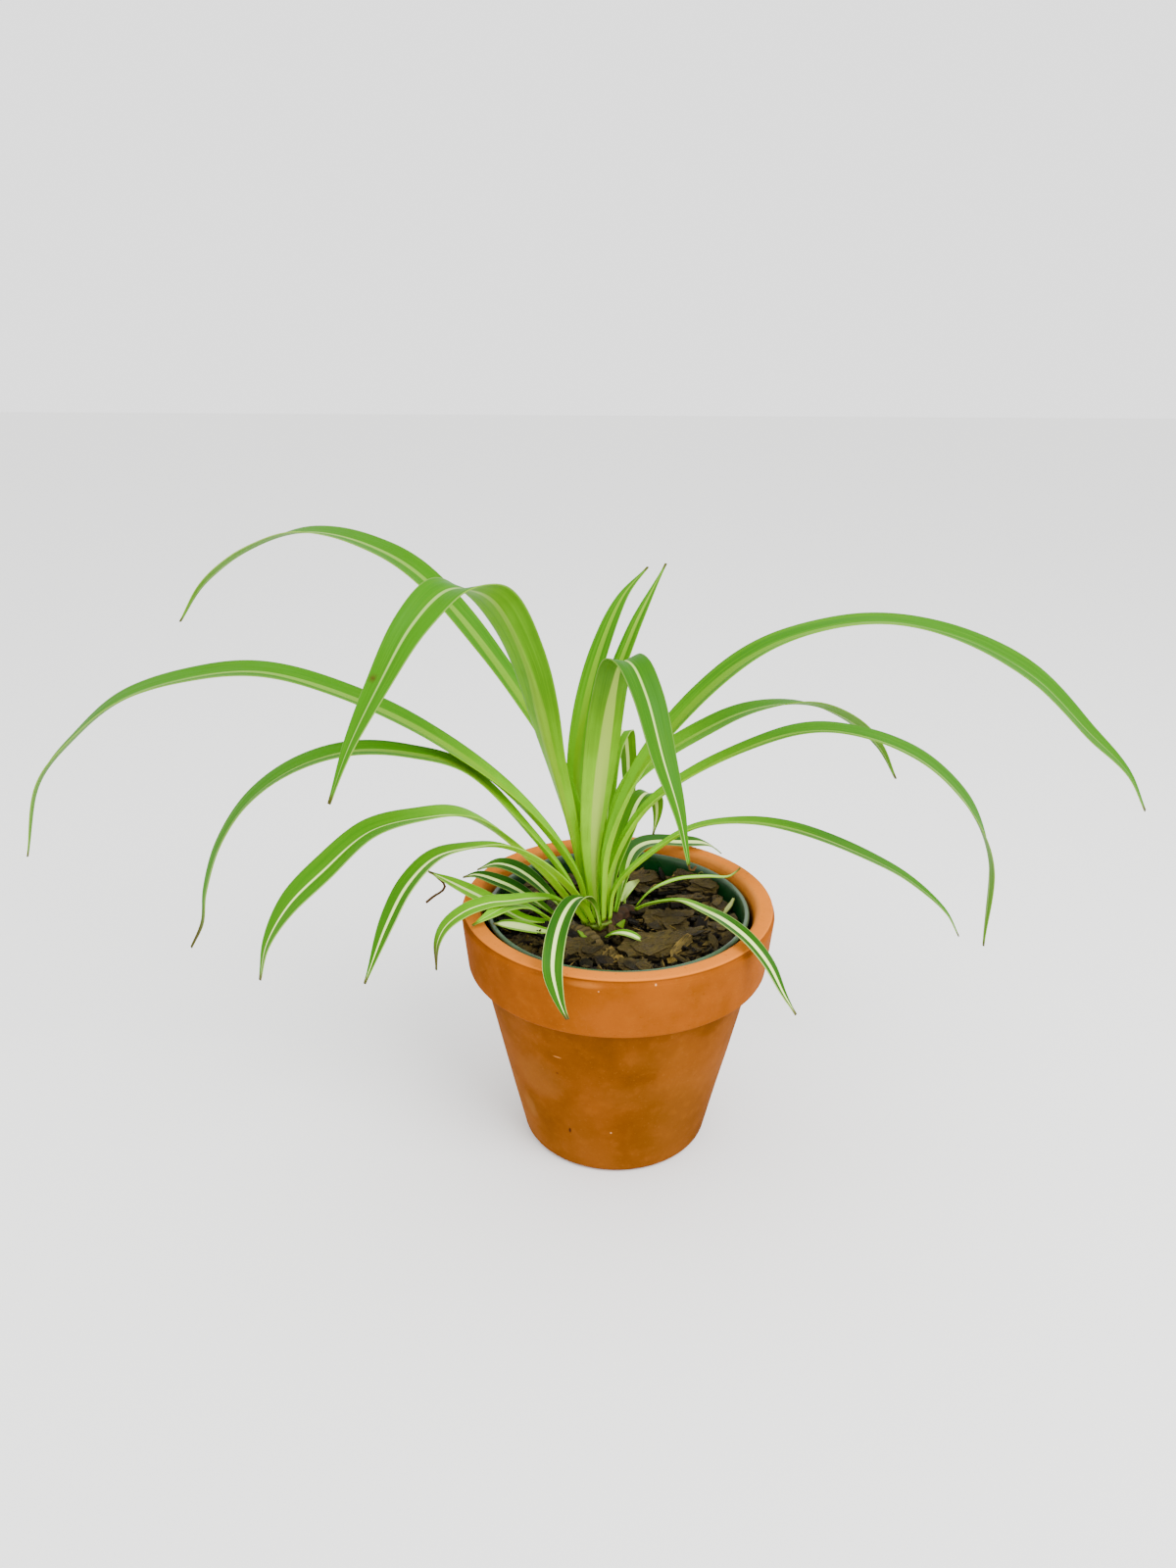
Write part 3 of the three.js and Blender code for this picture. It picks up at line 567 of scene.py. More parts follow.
def makeBarkMix():
    p = barkMix
    random.seed(p["seed"])
    bm = newChip()
    slab, chip, scrap = slabTemplate(11), chipTemplate(7, True), chipTemplate(4, False)
    for x, y, length, width, thickness, turn, tilt, tone in largeChips:
        place = (Matrix.Translation((x, y, bedHeight(x, y) + 0.6 * thickness))
                 @ turned(math.radians(turn), "Z") @ turned(math.radians(tilt), "X"))
        addChip(bm, slab, (length, width, thickness), place, tone, 0.9)
        # thinner layers that have split off its top
        for layer in range(4):
            size = (length * random.uniform(0.4, 0.85), width * random.uniform(0.3, 0.8), 0.8)
            shift = Vector((random.uniform(-0.5, 0.5) * (length - size[0]),
                            random.uniform(-0.5, 0.5) * (width - size[1]), 0.5 * thickness + 0.3 * layer))
            tipped = turned(random.gauss(0, 0.08), "X") @ turned(random.gauss(0, 0.3), "Z")
            layerTone = tone + random.uniform(-0.2, 0.2)
            addChip(bm, chip, size, place @ Matrix.Translation(shift) @ tipped, layerTone, 0.4)
    shortest, longest = p["chipLength"]
    for i in range(p["chips"]):
        x, y = scatterSpot()
        length = shortest + (longest - shortest) * random.random() ** 1.8
        size = (length, length * random.uniform(0.4, 0.75), random.uniform(0.8, 1.8))
        tone = 0.9
        if random.random() >= p["paleShare"]:
            tone = random.choice(p["chipTones"]) + random.uniform(-0.1, 0.1)
        addChip(bm, chip, size, chipPlace(x, y, random.uniform(-0.8, 2.6), 0.42), tone, 0.5)
    shortest, longest = p["scrapLength"]
    for i in range(p["scraps"]):
        x, y = scatterSpot()
        length = random.uniform(shortest, longest)
        size = (length, length * random.uniform(0.3, 0.8), random.uniform(0.6, 1.4))
        tone = 0.95 if random.random() < p["paleShare"] else random.uniform(0, 0.7)
        addChip(bm, scrap, size, chipPlace(x, y, random.uniform(0, 2.8), 0.55), tone, 0.4)
    for i in range(p["crumbs"]):
        x, y = scatterSpot()
        size = random.uniform(0.6, 1.9)
        tone = 1 if random.random() < 0.03 else random.uniform(0, 0.6) ** 2
        place = chipPlace(x, y, random.uniform(0, 2), 0.6)
        addChip(bm, scrap, (size * 1.4, size, size * 0.8), place, tone, 0.4)
    for i in range(p["splinters"]):
        x, y = scatterSpot()
        place = chipPlace(x, y, random.uniform(1, 3), 0.35)
        addChip(bm, scrap, (random.uniform(4, 9), 0.6, 0.5), place, random.uniform(0.2, 1), 0.6)

    # the bed that the chips lie on
    outline = [(0, p["bottom"])]
    outline += slopePoints((p["footRadius"] - 2, p["bottom"]), (p["footRadius"], p["bottom"] + 2), 3)
    outline += slopePoints((p["footRadius"], p["bottom"] + 2), (p["topRadius"] - 1, p["level"]), 8)
    outline += slopePoints((p["topRadius"] - 1, p["level"]), (0.4, p["level"]), 1.3) + [(0, p["level"])]
    verts, faces = addMesh(bm, spinMesh(outline, 150))
    grain = bm.loops.layers.uv["grain"]
    tone = bm.verts.layers.float["tone"]
    for vert in verts:
        # painted shade: the bed is nearly black, for the shade in the gaps between the chips
        vert[tone] = 0.03
        if vert.co.z > (p["level"] - 1) * mm:
            spot = vert.co / mm
            rise = noise.noise(spot * 0.13) + 0.8 * noise.noise(spot * 0.4)
            spot.z = bedHeight(spot.x, spot.y) - p["sunk"] + p["lumps"] * rise
            vert.co = keepInside(spot) * mm
    for face in faces:
        for loop in face.loops:
            loop[grain].uv = loop.vert.co.xy
    bark = finishPiece("barkBed", bm, [barkMaterial()], "potting_mix", "soil")
    bark.data.shade_flat()
    print("bark mix made")


# Leaves
blade = {
    "shares": [0.34, 0.66, 0.94, 1, 0.74, 0.08],  # of the full width, at even steps from foot to tip
    "tipWidth": 1.2,
    "footFold": 58,  # degrees that each half is folded up at the foot
    "openFrom": 0.34,
    "fold": 22,
    "tipFold": 12,
    "thickness": 0.5,
    "columns": 18,
    "rowSpacing": 2.2,
    "keel": 0.012,  # how round the bottom of the V is
    "ripple": 0.35,  # how far the margins wave
    "rippleScale": 0.035,
    "dryTip": 3,  # length of the brown tip, unless a look says which share of the length it takes
    "dryness": 0.85,
    "green": 13,  # how many leaves of the table, from the first, are green ones; the others are striped
    "seeds": (0.37, 7.3),  # set the veins and the waves of one leaf apart from the next one's
}

# Full width and centre line of each leaf, from foot to tip
leaves = {
    "leaf_main_01": {  # back left, the highest arch on the left
        "width": 17, "roll": [0, -4, -9, -2, 6],
        "spine": [(-10.5, 4.3, 117.9), (-13, 8.5, 140), (-20, 12, 168), (-39, 20, 212), (-93, 44, 278),
            (-125, 63, 293), (-162, 83, 296), (-199, 103, 282), (-230, 120, 260),
            (-247, 127, 238)]},
    "leaf_main_02": {  # front left, the wide one that folds over towards the viewer
        "width": 23, "shares": [0.26, 0.42, 0.62, 0.8, 0.85, 0.88, 0.65, 0.4, 0.06],
        "roll": [0, -2, -6, 4, 13, 17, -26, -11, -2],
        "spine": [(-15.5, 5, 118.6), (-18.5, 4, 140), (-24, 0, 170), (-32, -9, 207), (-41, -33, 258),
            (-52, -56, 290), (-60, -71, 299), (-69, -84, 301), (-80, -98, 291), (-91, -110, 272),
            (-102, -119, 250), (-109, -125, 231)]},
    "leaf_main_03": {  # left, reaching furthest out
        "width": 19.5, "shares": [0.28, 0.7, 1, 0.97, 0.82, 0.08], "roll": [0, -8, -6, -4, 0],
        "spine": [(-15.6, 1.5, 118.6), (-20, -1, 142), (-49, -4, 184), (-92, -9, 220), (-132, -16, 242),
            (-162, -20, 251), (-192, -24, 249), (-221, -28, 240), (-243, -31, 223),
            (-260, -34, 203), (-271, -35, 167)]},
    "leaf_main_04": {  # left, under leaf_main_03
        "width": 16.5, "shares": [0.27, 0.6, 0.84, 1, 0.7, 0.08], "roll": [0, -8, -6, -8, -26],
        "spine": [(-16, -1.8, 118.4), (-23, -3, 137), (-41, -6, 165), (-73, -11, 202), (-97, -15, 211),
            (-122, -20, 214), (-147, -25, 208), (-169, -28, 193), (-184, -31, 172),
            (-193, -32, 148), (-196, -33, 132), (-202, -35, 120)]},
    "leaf_main_05": {  # front left, broad and striped
        "width": 18, "shares": [0.31, 0.64, 1, 0.9, 0.78, 0.08], "roll": [0, 4, 2, -21, -18],
        "spine": [(-15.5, -4.8, 118.2), (-24.5, -7.5, 132), (-40, -11, 153), (-70, -29, 186),
            (-90, -40, 190), (-111, -49, 187), (-130, -60, 173), (-145, -66, 159), (-155, -70, 142),
            (-159, -72, 125)]},
    "leaf_main_06": {  # front left, shorter and lower
        "width": 13.5, "roll": [0, 5, 12, -12, -38],
        "spine": [(-12.3, -5.6, 118.2), (-18, -12, 133), (-38, -27, 162), (-54, -34, 173),
            (-69, -42, 176), (-83, -48, 174), (-94, -56, 165), (-103, -62, 149), (-114, -68, 121)]},
    "leaf_main_07": {  # right, low, with a half twist
        "width": 13.5, "shares": [0.32, 0.62, 0.82, 1, 0.7, 0.08], "roll": [0, -14, 5, 9, 26],
        "spine": [(-4, -1.5, 118.4), (-1, -1, 136), (20, 1, 157), (38, 3, 167), (62, 5, 169),
            (87, 8, 164), (116, 11, 152), (146, 15, 135), (170, 17, 114), (179, 18, 99)]},
    "leaf_main_08": {  # right, the middle arch
        "width": 17.5, "shares": [0.27, 0.66, 0.9, 1, 0.88, 0.08], "roll": [0, -5, 2, 20, -4],
        "spine": [(-4.2, 2.4, 117.8), (-3.5, 3, 142), (15, 5, 178), (61, 9, 206), (93, 13, 214),
            (121, 15, 210), (152, 19, 195), (178, 21, 169), (192, 24, 139), (195, 24, 90)]},
    "leaf_main_09": {  # back right
        "width": 15, "shares": [0.35, 0.7, 1, 1, 0.79, 0.08], "roll": [0, 6, 4, -18, -18],
        "spine": [(-5.8, 5.8, 117.8), (-5, 10, 149), (6, 14, 186), (48, 28, 212), (73, 38, 218),
            (98, 48, 216), (122, 58, 204), (141, 67, 186), (152, 70, 167)]},
    "leaf_main_10": {  # front, upright and folded over at the top
        "width": 20, "shares": [0.3, 0.78, 1, 0.88, 0.66, 0.07],
        "spine": [(-10, -2.5, 118.6), (-12, -3, 140), (-12, -4, 165), (-9, -5, 200), (-5, -9, 237),
            (-1, -17, 256), (4, -27, 257), (10, -38, 246), (17, -51, 222), (24, -61, 200),
            (28, -68, 180)]},
    "leaf_main_11": {  # right, the highest arch
        "width": 20.5, "shares": [0.27, 0.74, 1, 0.87, 0.76, 0.08], "roll": [0, 10, 0, 32, 44],
        "spine": [(-7, -3, 118.6), (-7, -6, 136), (-5, -7, 161), (10, -4, 200), (39, 1, 236),
            (65, 4, 256), (96, 8, 266), (127, 13, 267), (163, 16, 258), (200, 21, 238),
            (231, 24, 210), (256, 27, 187), (269, 29, 166)]},
    "leaf_main_12": {  # upright, back
        "width": 11.5,
        "spine": [(-13, 8, 118.5), (-16.5, 15, 138), (-21, 21, 183), (-18, 25, 215), (-10, 33, 247),
            (1, 44, 271), (14, 60, 283)]},
    "leaf_main_13": {  # upright, furthest back
        "width": 9,
        "spine": [(-9.3, 8.2, 117.4), (-8, 17, 140), (-8, 24, 184), (-5, 32, 222), (6, 47, 252),
            (24, 75, 282)]},
    "leaf_main_14": {  # short, folded over behind the upright ones
        "width": 10,
        "spine": [(-7, 12, 112.1), (-7, 22, 140), (-5, 30, 174), (-2, 37, 196), (3, 44, 203),
            (5.5, 51, 189), (6.5, 54, 172), (8, 55, 150), (8, 52, 137)]},
    "leaf_main_15": {  # short, back right
        "width": 10.5,
        "spine": [(-3, 11, 116), (-1.5, 16, 139), (4.5, 23, 156), (10.5, 33, 168), (15, 40, 170),
            (20, 47, 165), (21.5, 50, 158), (21.5, 51, 151), (20, 52, 141)]},
    "leaf_main_16": {  # striped, over the back of the rim
        "width": 12, "roll": [0, 4, 16, 16],
        "spine": [(-0.5, 6, 118.4), (3.2, 14.5, 131), (6.5, 26.5, 138.5), (10, 36, 140), (16.5, 46, 139),
            (24.3, 53, 136.8), (32.3, 57.5, 134.5), (40.3, 61, 132.8), (48, 65, 130.5),
            (54, 70, 126), (60, 76, 119)]},
    "leaf_main_17": {  # striped, over the front of the rim
        "width": 9.5, "shares": [0.33, 0.55, 0.9, 1, 0.95, 0.2],
        "spine": [(-9, -6.5, 117), (-11, -9, 128), (-15, -19, 139), (-21, -36, 147), (-26, -54, 148),
            (-29, -67, 143), (-30, -77, 134), (-28, -80, 124), (-25.5, -80.5, 116),
            (-23.5, -80, 111)]},
    "leaf_main_18": {  # short, at the foot of the crown
        "width": 6,
        "spine": [(-6.6, -10.5, 111.8), (-4.5, -12, 115), (1, -14, 117.6), (7, -17, 117.8),
            (13, -21, 116)]},
    "leaf_left_01": {
        "width": 9.5, "roll": [0, -10, -16, -14],
        "spine": [(-25, 8, 113.8), (-32, 12, 122), (-45, 15, 134), (-54, 18, 138), (-62, 20, 138.5),
            (-72, 24, 133)]},
    "leaf_left_02": {
        "width": 9.5, "roll": [0, -10, -16, -14],
        "spine": [(-28, 6.5, 113.8), (-33, 7, 117), (-50, 9, 129), (-60, 9, 134), (-71, 10, 137),
            (-78, 11, 135)]},
    "leaf_left_03": {
        "width": 10, "roll": [0, -12, -20, -18],
        "spine": [(-29.5, 3, 114), (-36, 0, 115.6), (-47, -3, 119), (-61, -2, 127), (-78, -3, 137),
            (-93, -5, 146)]},
    "leaf_left_04": {
        "width": 9, "roll": [0, -10, -16, -10],
        "spine": [(-23.5, 3, 114.5), (-25, 1, 124), (-32, 0, 129), (-41, -7, 133), (-53, -18, 137),
            (-62, -22, 138), (-73, -27, 136), (-82, -31, 130), (-86, -33, 122), (-87, -34, 108)]},
    "leaf_left_05": {
        "width": 8.5, "roll": [0, -10, -16, -16],
        "spine": [(-27.5, 0.5, 113.8), (-33, -3, 118), (-40, -6, 125), (-47, -11, 131), (-54, -20, 135),
            (-62, -29, 134.5), (-69, -34, 132)]},
    "leaf_left_06": {
        "width": 8.5, "shares": [0.5, 0.8, 1, 1, 0.74, 0.08], "roll": [0, -14, -18, -14],
        "spine": [(-30, -4.5, 113), (-34, -8, 114.3), (-41, -11, 117.3), (-50, -15, 121.5),
            (-60, -24, 127.6)]},
    "leaf_right_01": {  # striped, over the front right of the rim
        "width": 8.5, "shares": [0.4, 0.5, 0.85, 1, 0.8, 0.08],
        "spine": [(9.5, 17, 113.8), (15, 12.5, 119.2), (30, 1, 127.8), (41, -17, 132.2),
            (50.5, -36, 135.4), (59.5, -51, 133.6), (67, -58, 126), (74, -62, 113),
            (80, -63, 103)]},
    "leaf_right_02": {  # thin, with a bent tip
        "width": 3.2,
        "spine": [(10, 21, 113.8), (15, 20, 121), (21, 20, 126), (32, 24, 128.5), (46, 25, 129.5),
            (58, 27, 128.5), (61.5, 26.5, 131), (64, 26, 134)]},
    "leaf_right_03": {  # short pale stub
        "width": 6.5, "shares": [0.6, 0.9, 1, 0.9, 0.6, 0.1], "roll": [0, 14, 24],
        "spine": [(4.3, 24, 113.5), (4.2, 25.5, 118), (7.2, 27, 122.3), (12, 28, 125.6)]},
}


def smoothPath(points, steps=24):
    # the centripetal curve through the points, as (distance, place) at fine steps
    points = [Vector(point) for point in points]
    points = [2 * points[0] - points[1], *points, 2 * points[-1] - points[-2]]
    path = [(0, points[1])]
    for before, start, end, after in zip(points, points[1:], points[2:], points[3:]):
        gaps = [math.sqrt((b - a).length) for a, b in ((before, start), (start, end), (end, after))]
        leave = (start - before) / gaps[0] - (end - before) / (gaps[0] + gaps[1]) + (end - start) / gaps[1]
        arrive = (end - start) / gaps[1] - (after - start) / (gaps[1] + gaps[2]) + (after - end) / gaps[2]
        leave *= gaps[1]
        arrive *= gaps[1]
        for i in range(1, steps + 1):
            u = i / steps
            spot = (start + u * leave + u * u * (3 * (end - start) - 2 * leave - arrive)
                    + u ** 3 * (2 * (start - end) + leave + arrive))
            path.append((path[-1][0] + (spot - path[-1][1]).length, spot))
    return path


def placeOn(path, share):
    # the place at this share of the path's length
    distance = share * path[-1][0]
    for (before, start), (after, end) in zip(path, path[1:]):
        if distance <= after or after == path[-1][0]:
            return start.lerp(end, (distance - before) / max(after - before, 1e-9))


def along(values, share):
    # the smooth curve through values at even steps
    place = share * (len(values) - 1)
    step = min(int(place), len(values) - 2)
    u = place - step
    last = len(values) - 1
    before, start, end, after = (values[max(0, min(i, last))] for i in range(step - 1, step + 3))
    leave, arrive = (end - before) / 2, (after - start) / 2
    return start + u * (leave + u * (3 * (end - start) - 2 * leave - arrive
                                     + u * (leave + arrive - 2 * (end - start))))


def smoothStep(value, start, end):
    u = max(0, min((value - start) / (end - start), 1))
    return u * u * (3 - 2 * u)


def mixed(a, b, share):
    return a + (b - a) * share


# Colours of the blades, for the upper side and the underside
bladeColours = {
    "bladeUpper": {
        "fresh": (44, 104, 0),
        "light": (66, 124, 0),
        "backlitGlow": (134, 206, 0),
        "skySheen": (54, 114, 0),
        "deep": (20, 64, 16),
        "stripe": (112, 154, 0),
        "white": (226, 246, 150),
    },
    "bladeUnder": {
        "fresh": (66, 118, 0),
        "light": (88, 142, 0),
        "backlitGlow": (146, 208, 0),
        "skySheen": (80, 128, 20),
        "deep": (48, 90, 38),
        "stripe": (136, 166, 30),
        "white": (206, 230, 124),
    },
}


def bladeMaterial(name, shade):
    f = Finish(name, Specular_IOR_Level=0.06)
    parts = f.node("SeparateXYZ", {0: f.node("UVMap", uv_map="blade").outputs[0]})
    across, share = parts.outputs["X"], parts.outputs["Y"]
    # veins run the whole length, so their pattern is fine across and long along
    distance = f.times(share, f.attribute("reach"))
    lines = f.node("CombineXYZ", {
        "X": f.times(across, f.attribute("width")),
        "Y": f.times(distance, 0.015),
        "Z": f.attribute("shift"),
    }).outputs[0]
    veins = f.noise(lines, 1900, 2, 0.6)
    bands = f.noise(lines, 520, 2, 0.5)
    mottle = f.noise(f.place, 70, 3)
    deep = f.attribute("deep")

    base = f.mix(f.fade(bands, 0.35, 0.68), shade["fresh"], shade["light"])
    # painted sheen: grey-green painted where the sky's sheen falls on the blade
    sheenMix = f.mix(f.fade(bands, 0.3, 0.7), shade["skySheen"], shade["deep"])
    sheenMix = f.mix(0.72, sheenMix, shade["skySheen"])
    base = f.mix(f.attribute("skySheen"), base, sheenMix)
    base = f.mix(deep, base, shade["deep"])
    # the first centimetres above the crown are thin; they are painted bright, a painted glow of light
    # shining through them
    pale = f.maths("MAXIMUM", f.maths("SUBTRACT", 0.75, deep), 0.0)
    base = f.mix(f.times(f.fade(distance, 0.14, 0.03), pale), base, shade["backlitGlow"])
    base = f.mix(f.times(f.fade(mottle, 0.4, 0.7), 0.2), base, (54, 98, 0))
    base = f.mix(f.times(f.fade(veins, 0.52, 0.7), 0.2), base, (96, 142, 4))
    base = f.mix(f.times(f.fade(veins, 0.42, 0.3), 0.3), base, (36, 74, 0))

    # the pale centre: crisp at its edges, with a few thin lines beside it
    side = f.maths("ABSOLUTE", f.maths("SUBTRACT", f.times(across, 2.0), 1.0))
    ragged = f.times(f.maths("SUBTRACT", bands, 0.5), f.attribute("streak"))
    edge = f.maths("SUBTRACT", f.maths("ADD", side, ragged), f.attribute("stripe"))
    stripe = f.mix(f.attribute("white"), shade["stripe"], shade["white"])
    base = f.mix(f.times(f.fade(edge, 0.035, -0.035), f.attribute("pale")), base, stripe)
    base = f.mix(f.times(f.fade(side, 0.94, 0.99), f.attribute("margin")), base, stripe)
    base = f.mix(f.attribute("dry"), base, (66, 44, 14))
    normal = f.bump(bands, 0.3, 0.4, f.bump(veins, 0.35, 0.22))
    return f.done(base, f.fade(bands, 0.3, 0.7, 0.42, 0.56), normal)


# How each blade is marked; a list runs from the foot to the tip.
# skySheen: grey-green instead of yellow-green, a painted sheen of the sky on the blade; deep: dark green;
# stripe: share of the width that is pale; pale: how strong the stripe is; white: how white it is;
# streak: how uneven its edges are; margin: how pale the very edge is. tipDry is the share of the length
# that is brown at the tip, spots are brown specks (place along, place across, size in millimetres),
# withered makes the whole blade brown.
greenLook = {
    "skySheen": [0, 0, 0.3, 0.7, 0.8],
    "deep": [0, 0],
    "stripe": [0.5, 0.42, 0.2, 0.06, 0.06],
    "pale": [0.5, 0.6, 0.45, 0.5, 0.45],
    "white": [0, 0, 0.15, 0.5, 0.5],
    "streak": [0.7, 0.2],
    "margin": [0.1, 0.25],
}
stripedLook = {
    "skySheen": [0.3, 0.5],
    "deep": [0.3, 0.75, 0.75, 0.6],
    "stripe": [0.45, 0.3, 0.26, 0.22],
    "pale": [0.85, 0.95, 0.95],
    "white": [0.3, 0.85, 0.85],
    "streak": [0.3, 0.16],
    "margin": [0.15, 0.3],
}
looks = {
    "leaf_main_01": {"skySheen": [0, 0, 0.7, 0.4, 0.3], "margin": [0.2, 0.5]},
    "leaf_main_02": {"skySheen": [0, 0, 0, 0.15, 0.9, 0.8], "stripe": [0.5, 0.4, 0.15, 0.06, 0.06],
                     "pale": [0.5, 0.5, 0.3, 0.45, 0.4], "spots": [(0.85, 0.8, 1.8)]},
    "leaf_main_03": {"skySheen": [0, 0, 0.45, 0.8, 0.9, 0.5], "pale": [0.7, 0.6, 0.45, 0.3, 0.3]},
    "leaf_main_04": {"skySheen": [0, 0, 0.35, 0.7, 0.9, 0.2], "pale": [0.7, 0.6, 0.45, 0.3, 0.3],
                     "tipDry": 0.06},
    "leaf_main_05": {"skySheen": [0, 0.1, 0.4, 0.5, 0.6], "stripe": [0.45, 0.3, 0.08, 0.09, 0.09],
                     "pale": [0.6, 0.6, 0.75, 0.95, 0.9], "white": [0, 0.3, 0.8, 0.9]},
    "leaf_main_06": {"skySheen": [0, 0.2, 0.5, 0.4], "deep": [0, 0.2, 0.25],
                     "stripe": [0.3, 0.2, 0.14, 0.15, 0.15], "pale": [0.5, 0.7, 0.95, 0.95],
                     "white": [0, 0.5, 0.9, 0.9], "margin": [0.1, 0.4]},
    "leaf_main_07": {"skySheen": [0, 0, 0.2, 0.3, 0.9, 0.9], "deep": [0, 0.1, 0.35, 0.4, 0.1, 0]},
    "leaf_main_08": {"skySheen": [0, 0.1, 0.7, 1, 0.9, 0.5], "stripe": [0.45, 0.2, 0.07, 0.07]},
    "leaf_main_09": {"skySheen": [0, 0.1, 0.5, 0.6, 0.8, 0.8], "stripe": [0.45, 0.2, 0.07, 0.07]},
    "leaf_main_10": {"skySheen": [0, 0, 0, 0.8, 0.7, 0.2], "deep": [0, 0, 0, 0.35, 0.3, 0.1],
                     "stripe": [0.5, 0.42, 0.4, 0.3, 0.1, 0.07, 0.07, 0.06],
                     "pale": [0.7, 0.9, 0.9, 0.85, 0.8], "white": [0.1, 0.25, 0.2, 0.5, 0.6],
                     "streak": [0.6, 0.6, 0.1, 0.1], "tipDry": 0.004},
    "leaf_main_11": {"skySheen": [0, 0, 0, 0.2, 0.9, 0.9, 0.9], "stripe": [0.5, 0.3, 0.05, 0.05],
                     "pale": [0.5, 0.4, 0.25, 0.25]},
    "leaf_main_12": {"skySheen": [0, 0, 0, 0.1], "stripe": [0.5, 0.4, 0.26, 0.2], "pale": [0.6, 0.7],
                     "white": [0, 0, 0.05]},
    "leaf_main_13": {"skySheen": [0, 0, 0, 0.1], "stripe": [0.6, 0.45, 0.3, 0.25], "pale": [0.6, 0.8],
                     "white": [0, 0, 0.1]},
    "leaf_main_14": {"skySheen": [0, 0.1], "deep": [0, 0.2, 0.15], "stripe": [0.4, 0.2, 0.2]},
    "leaf_main_15": {"skySheen": [0, 0.5, 0.6, 0.1], "deep": [0.1, 0.5, 0.6, 0.2], "streak": [0.9, 0.5],
                     "stripe": [0.5, 0.2, 0.25]},
    "leaf_main_16": {"stripe": [0.3, 0.25, 0.25, 0.5], "streak": [0.3, 0.6, 0.5]},
    "leaf_main_17": {"skySheen": [0.3, 0.2], "deep": [0.5, 0.8, 0.6], "stripe": [0.2, 0.22, 0.15],
                     "margin": [0.4, 0.6], "streak": [0.12, 0.12], "spots": [(0.66, 0.3, 0.7)]},
    "leaf_main_18": {"skySheen": [0.3, 0.4], "deep": [0.5, 0.5], "stripe": [0.45, 0.5]},
    "leaf_left_01": {"stripe": [0.3, 0.2, 0.18]},
    "leaf_left_02": {"deep": [0.4, 0.8, 0.8], "stripe": [0.3, 0.25, 0.28]},
    "leaf_left_03": {"skySheen": [0.1, 0.2], "deep": [0.1, 0.2], "stripe": [0.3, 0.2, 0.22]},
    "leaf_left_04": {"skySheen": [0, 0.3], "deep": [0.1, 0.4], "stripe": [0.2, 0.08, 0.08], "tipDry": 0.12},
    "leaf_left_05": {"skySheen": [0, 0.1], "deep": [0, 0.15], "stripe": [0.3, 0.1, 0.08],
                     "pale": [0.6, 0.5]},
    "leaf_left_06": {"deep": [0.3, 0.5], "stripe": [0.6, 0.66, 0.6]},
    "leaf_right_01": {"skySheen": [0, 0.8, 0.9], "deep": [0, 0.7, 0.7], "stripe": [0.4, 0.3, 0.26],
                      "margin": [0.3, 0.5]},
    "leaf_right_02": {"skySheen": [0.6, 0.8], "deep": [0.1, 0.1], "stripe": [0.6, 0.7], "pale": [0.6, 0.7],
                      "white": [0.5, 0.7]},
    "leaf_right_03": {"skySheen": [0.8, 0.8], "deep": [0.1, 0], "stripe": [0.9, 1], "pale": [0.6, 0.65],
                      "white": [0.9, 1]},
}

# Withered bits without a CAD node of their own: width and centre line
witheredBits = {
    "dryThread": {"width": 1.1, "spine": [(-92, -5, 145.6), (-88, -5, 142), (-85, -6, 139),
        (-86, -8, 137), (-90, -10, 135), (-94, -10, 131.5)]},
    "dryCurl": {"width": 1, "spine": [(28, -68, 180.4), (28.6, -68, 177.6), (30.4, -67.5, 177.8),
        (31.2, -67, 179.4)]},
    "straw": {"width": 2.6, "spine": [(52.5, 4, 116.4), (55, 7, 118.6), (58, 10.5, 121),
        (59.6, 13, 123)]},
    "paleCurl": {"width": 4.2, "spine": [(44, 43, 118.5), (45, 44.5, 121.5), (47, 44, 123.4),
        (48.6, 42, 122), (48, 40.5, 119.6)]},
}


def bladeStation(leaf, path, share):
    # centre, direction to the left margin, direction up, fold and half width at this share of the length
    reach = path[-1][1] - path[0][1]
    reach.z = 0
    reach.normalize()
    side = Vector((-reach.y, reach.x, 0))
    ahead = (placeOn(path, min(share + 0.004, 1)) - placeOn(path, max(share - 0.004, 0))).normalized()
    across = (side - ahead * side.dot(ahead)).normalized()
    roll = math.radians(along(leaf.get("roll", (0, 0)), share))
    across.rotate(Matrix.Rotation(roll, 3, ahead))
    fold = mixed(blade["footFold"], mixed(blade["fold"], blade["tipFold"], share),
                 smoothStep(share, 0, blade["openFrom"]))
    width = max(leaf["width"] * along(leaf.get("shares", blade["shares"]), share), blade["tipWidth"])
    return placeOn(path, share), across, ahead.cross(across), math.radians(fold), width / 2


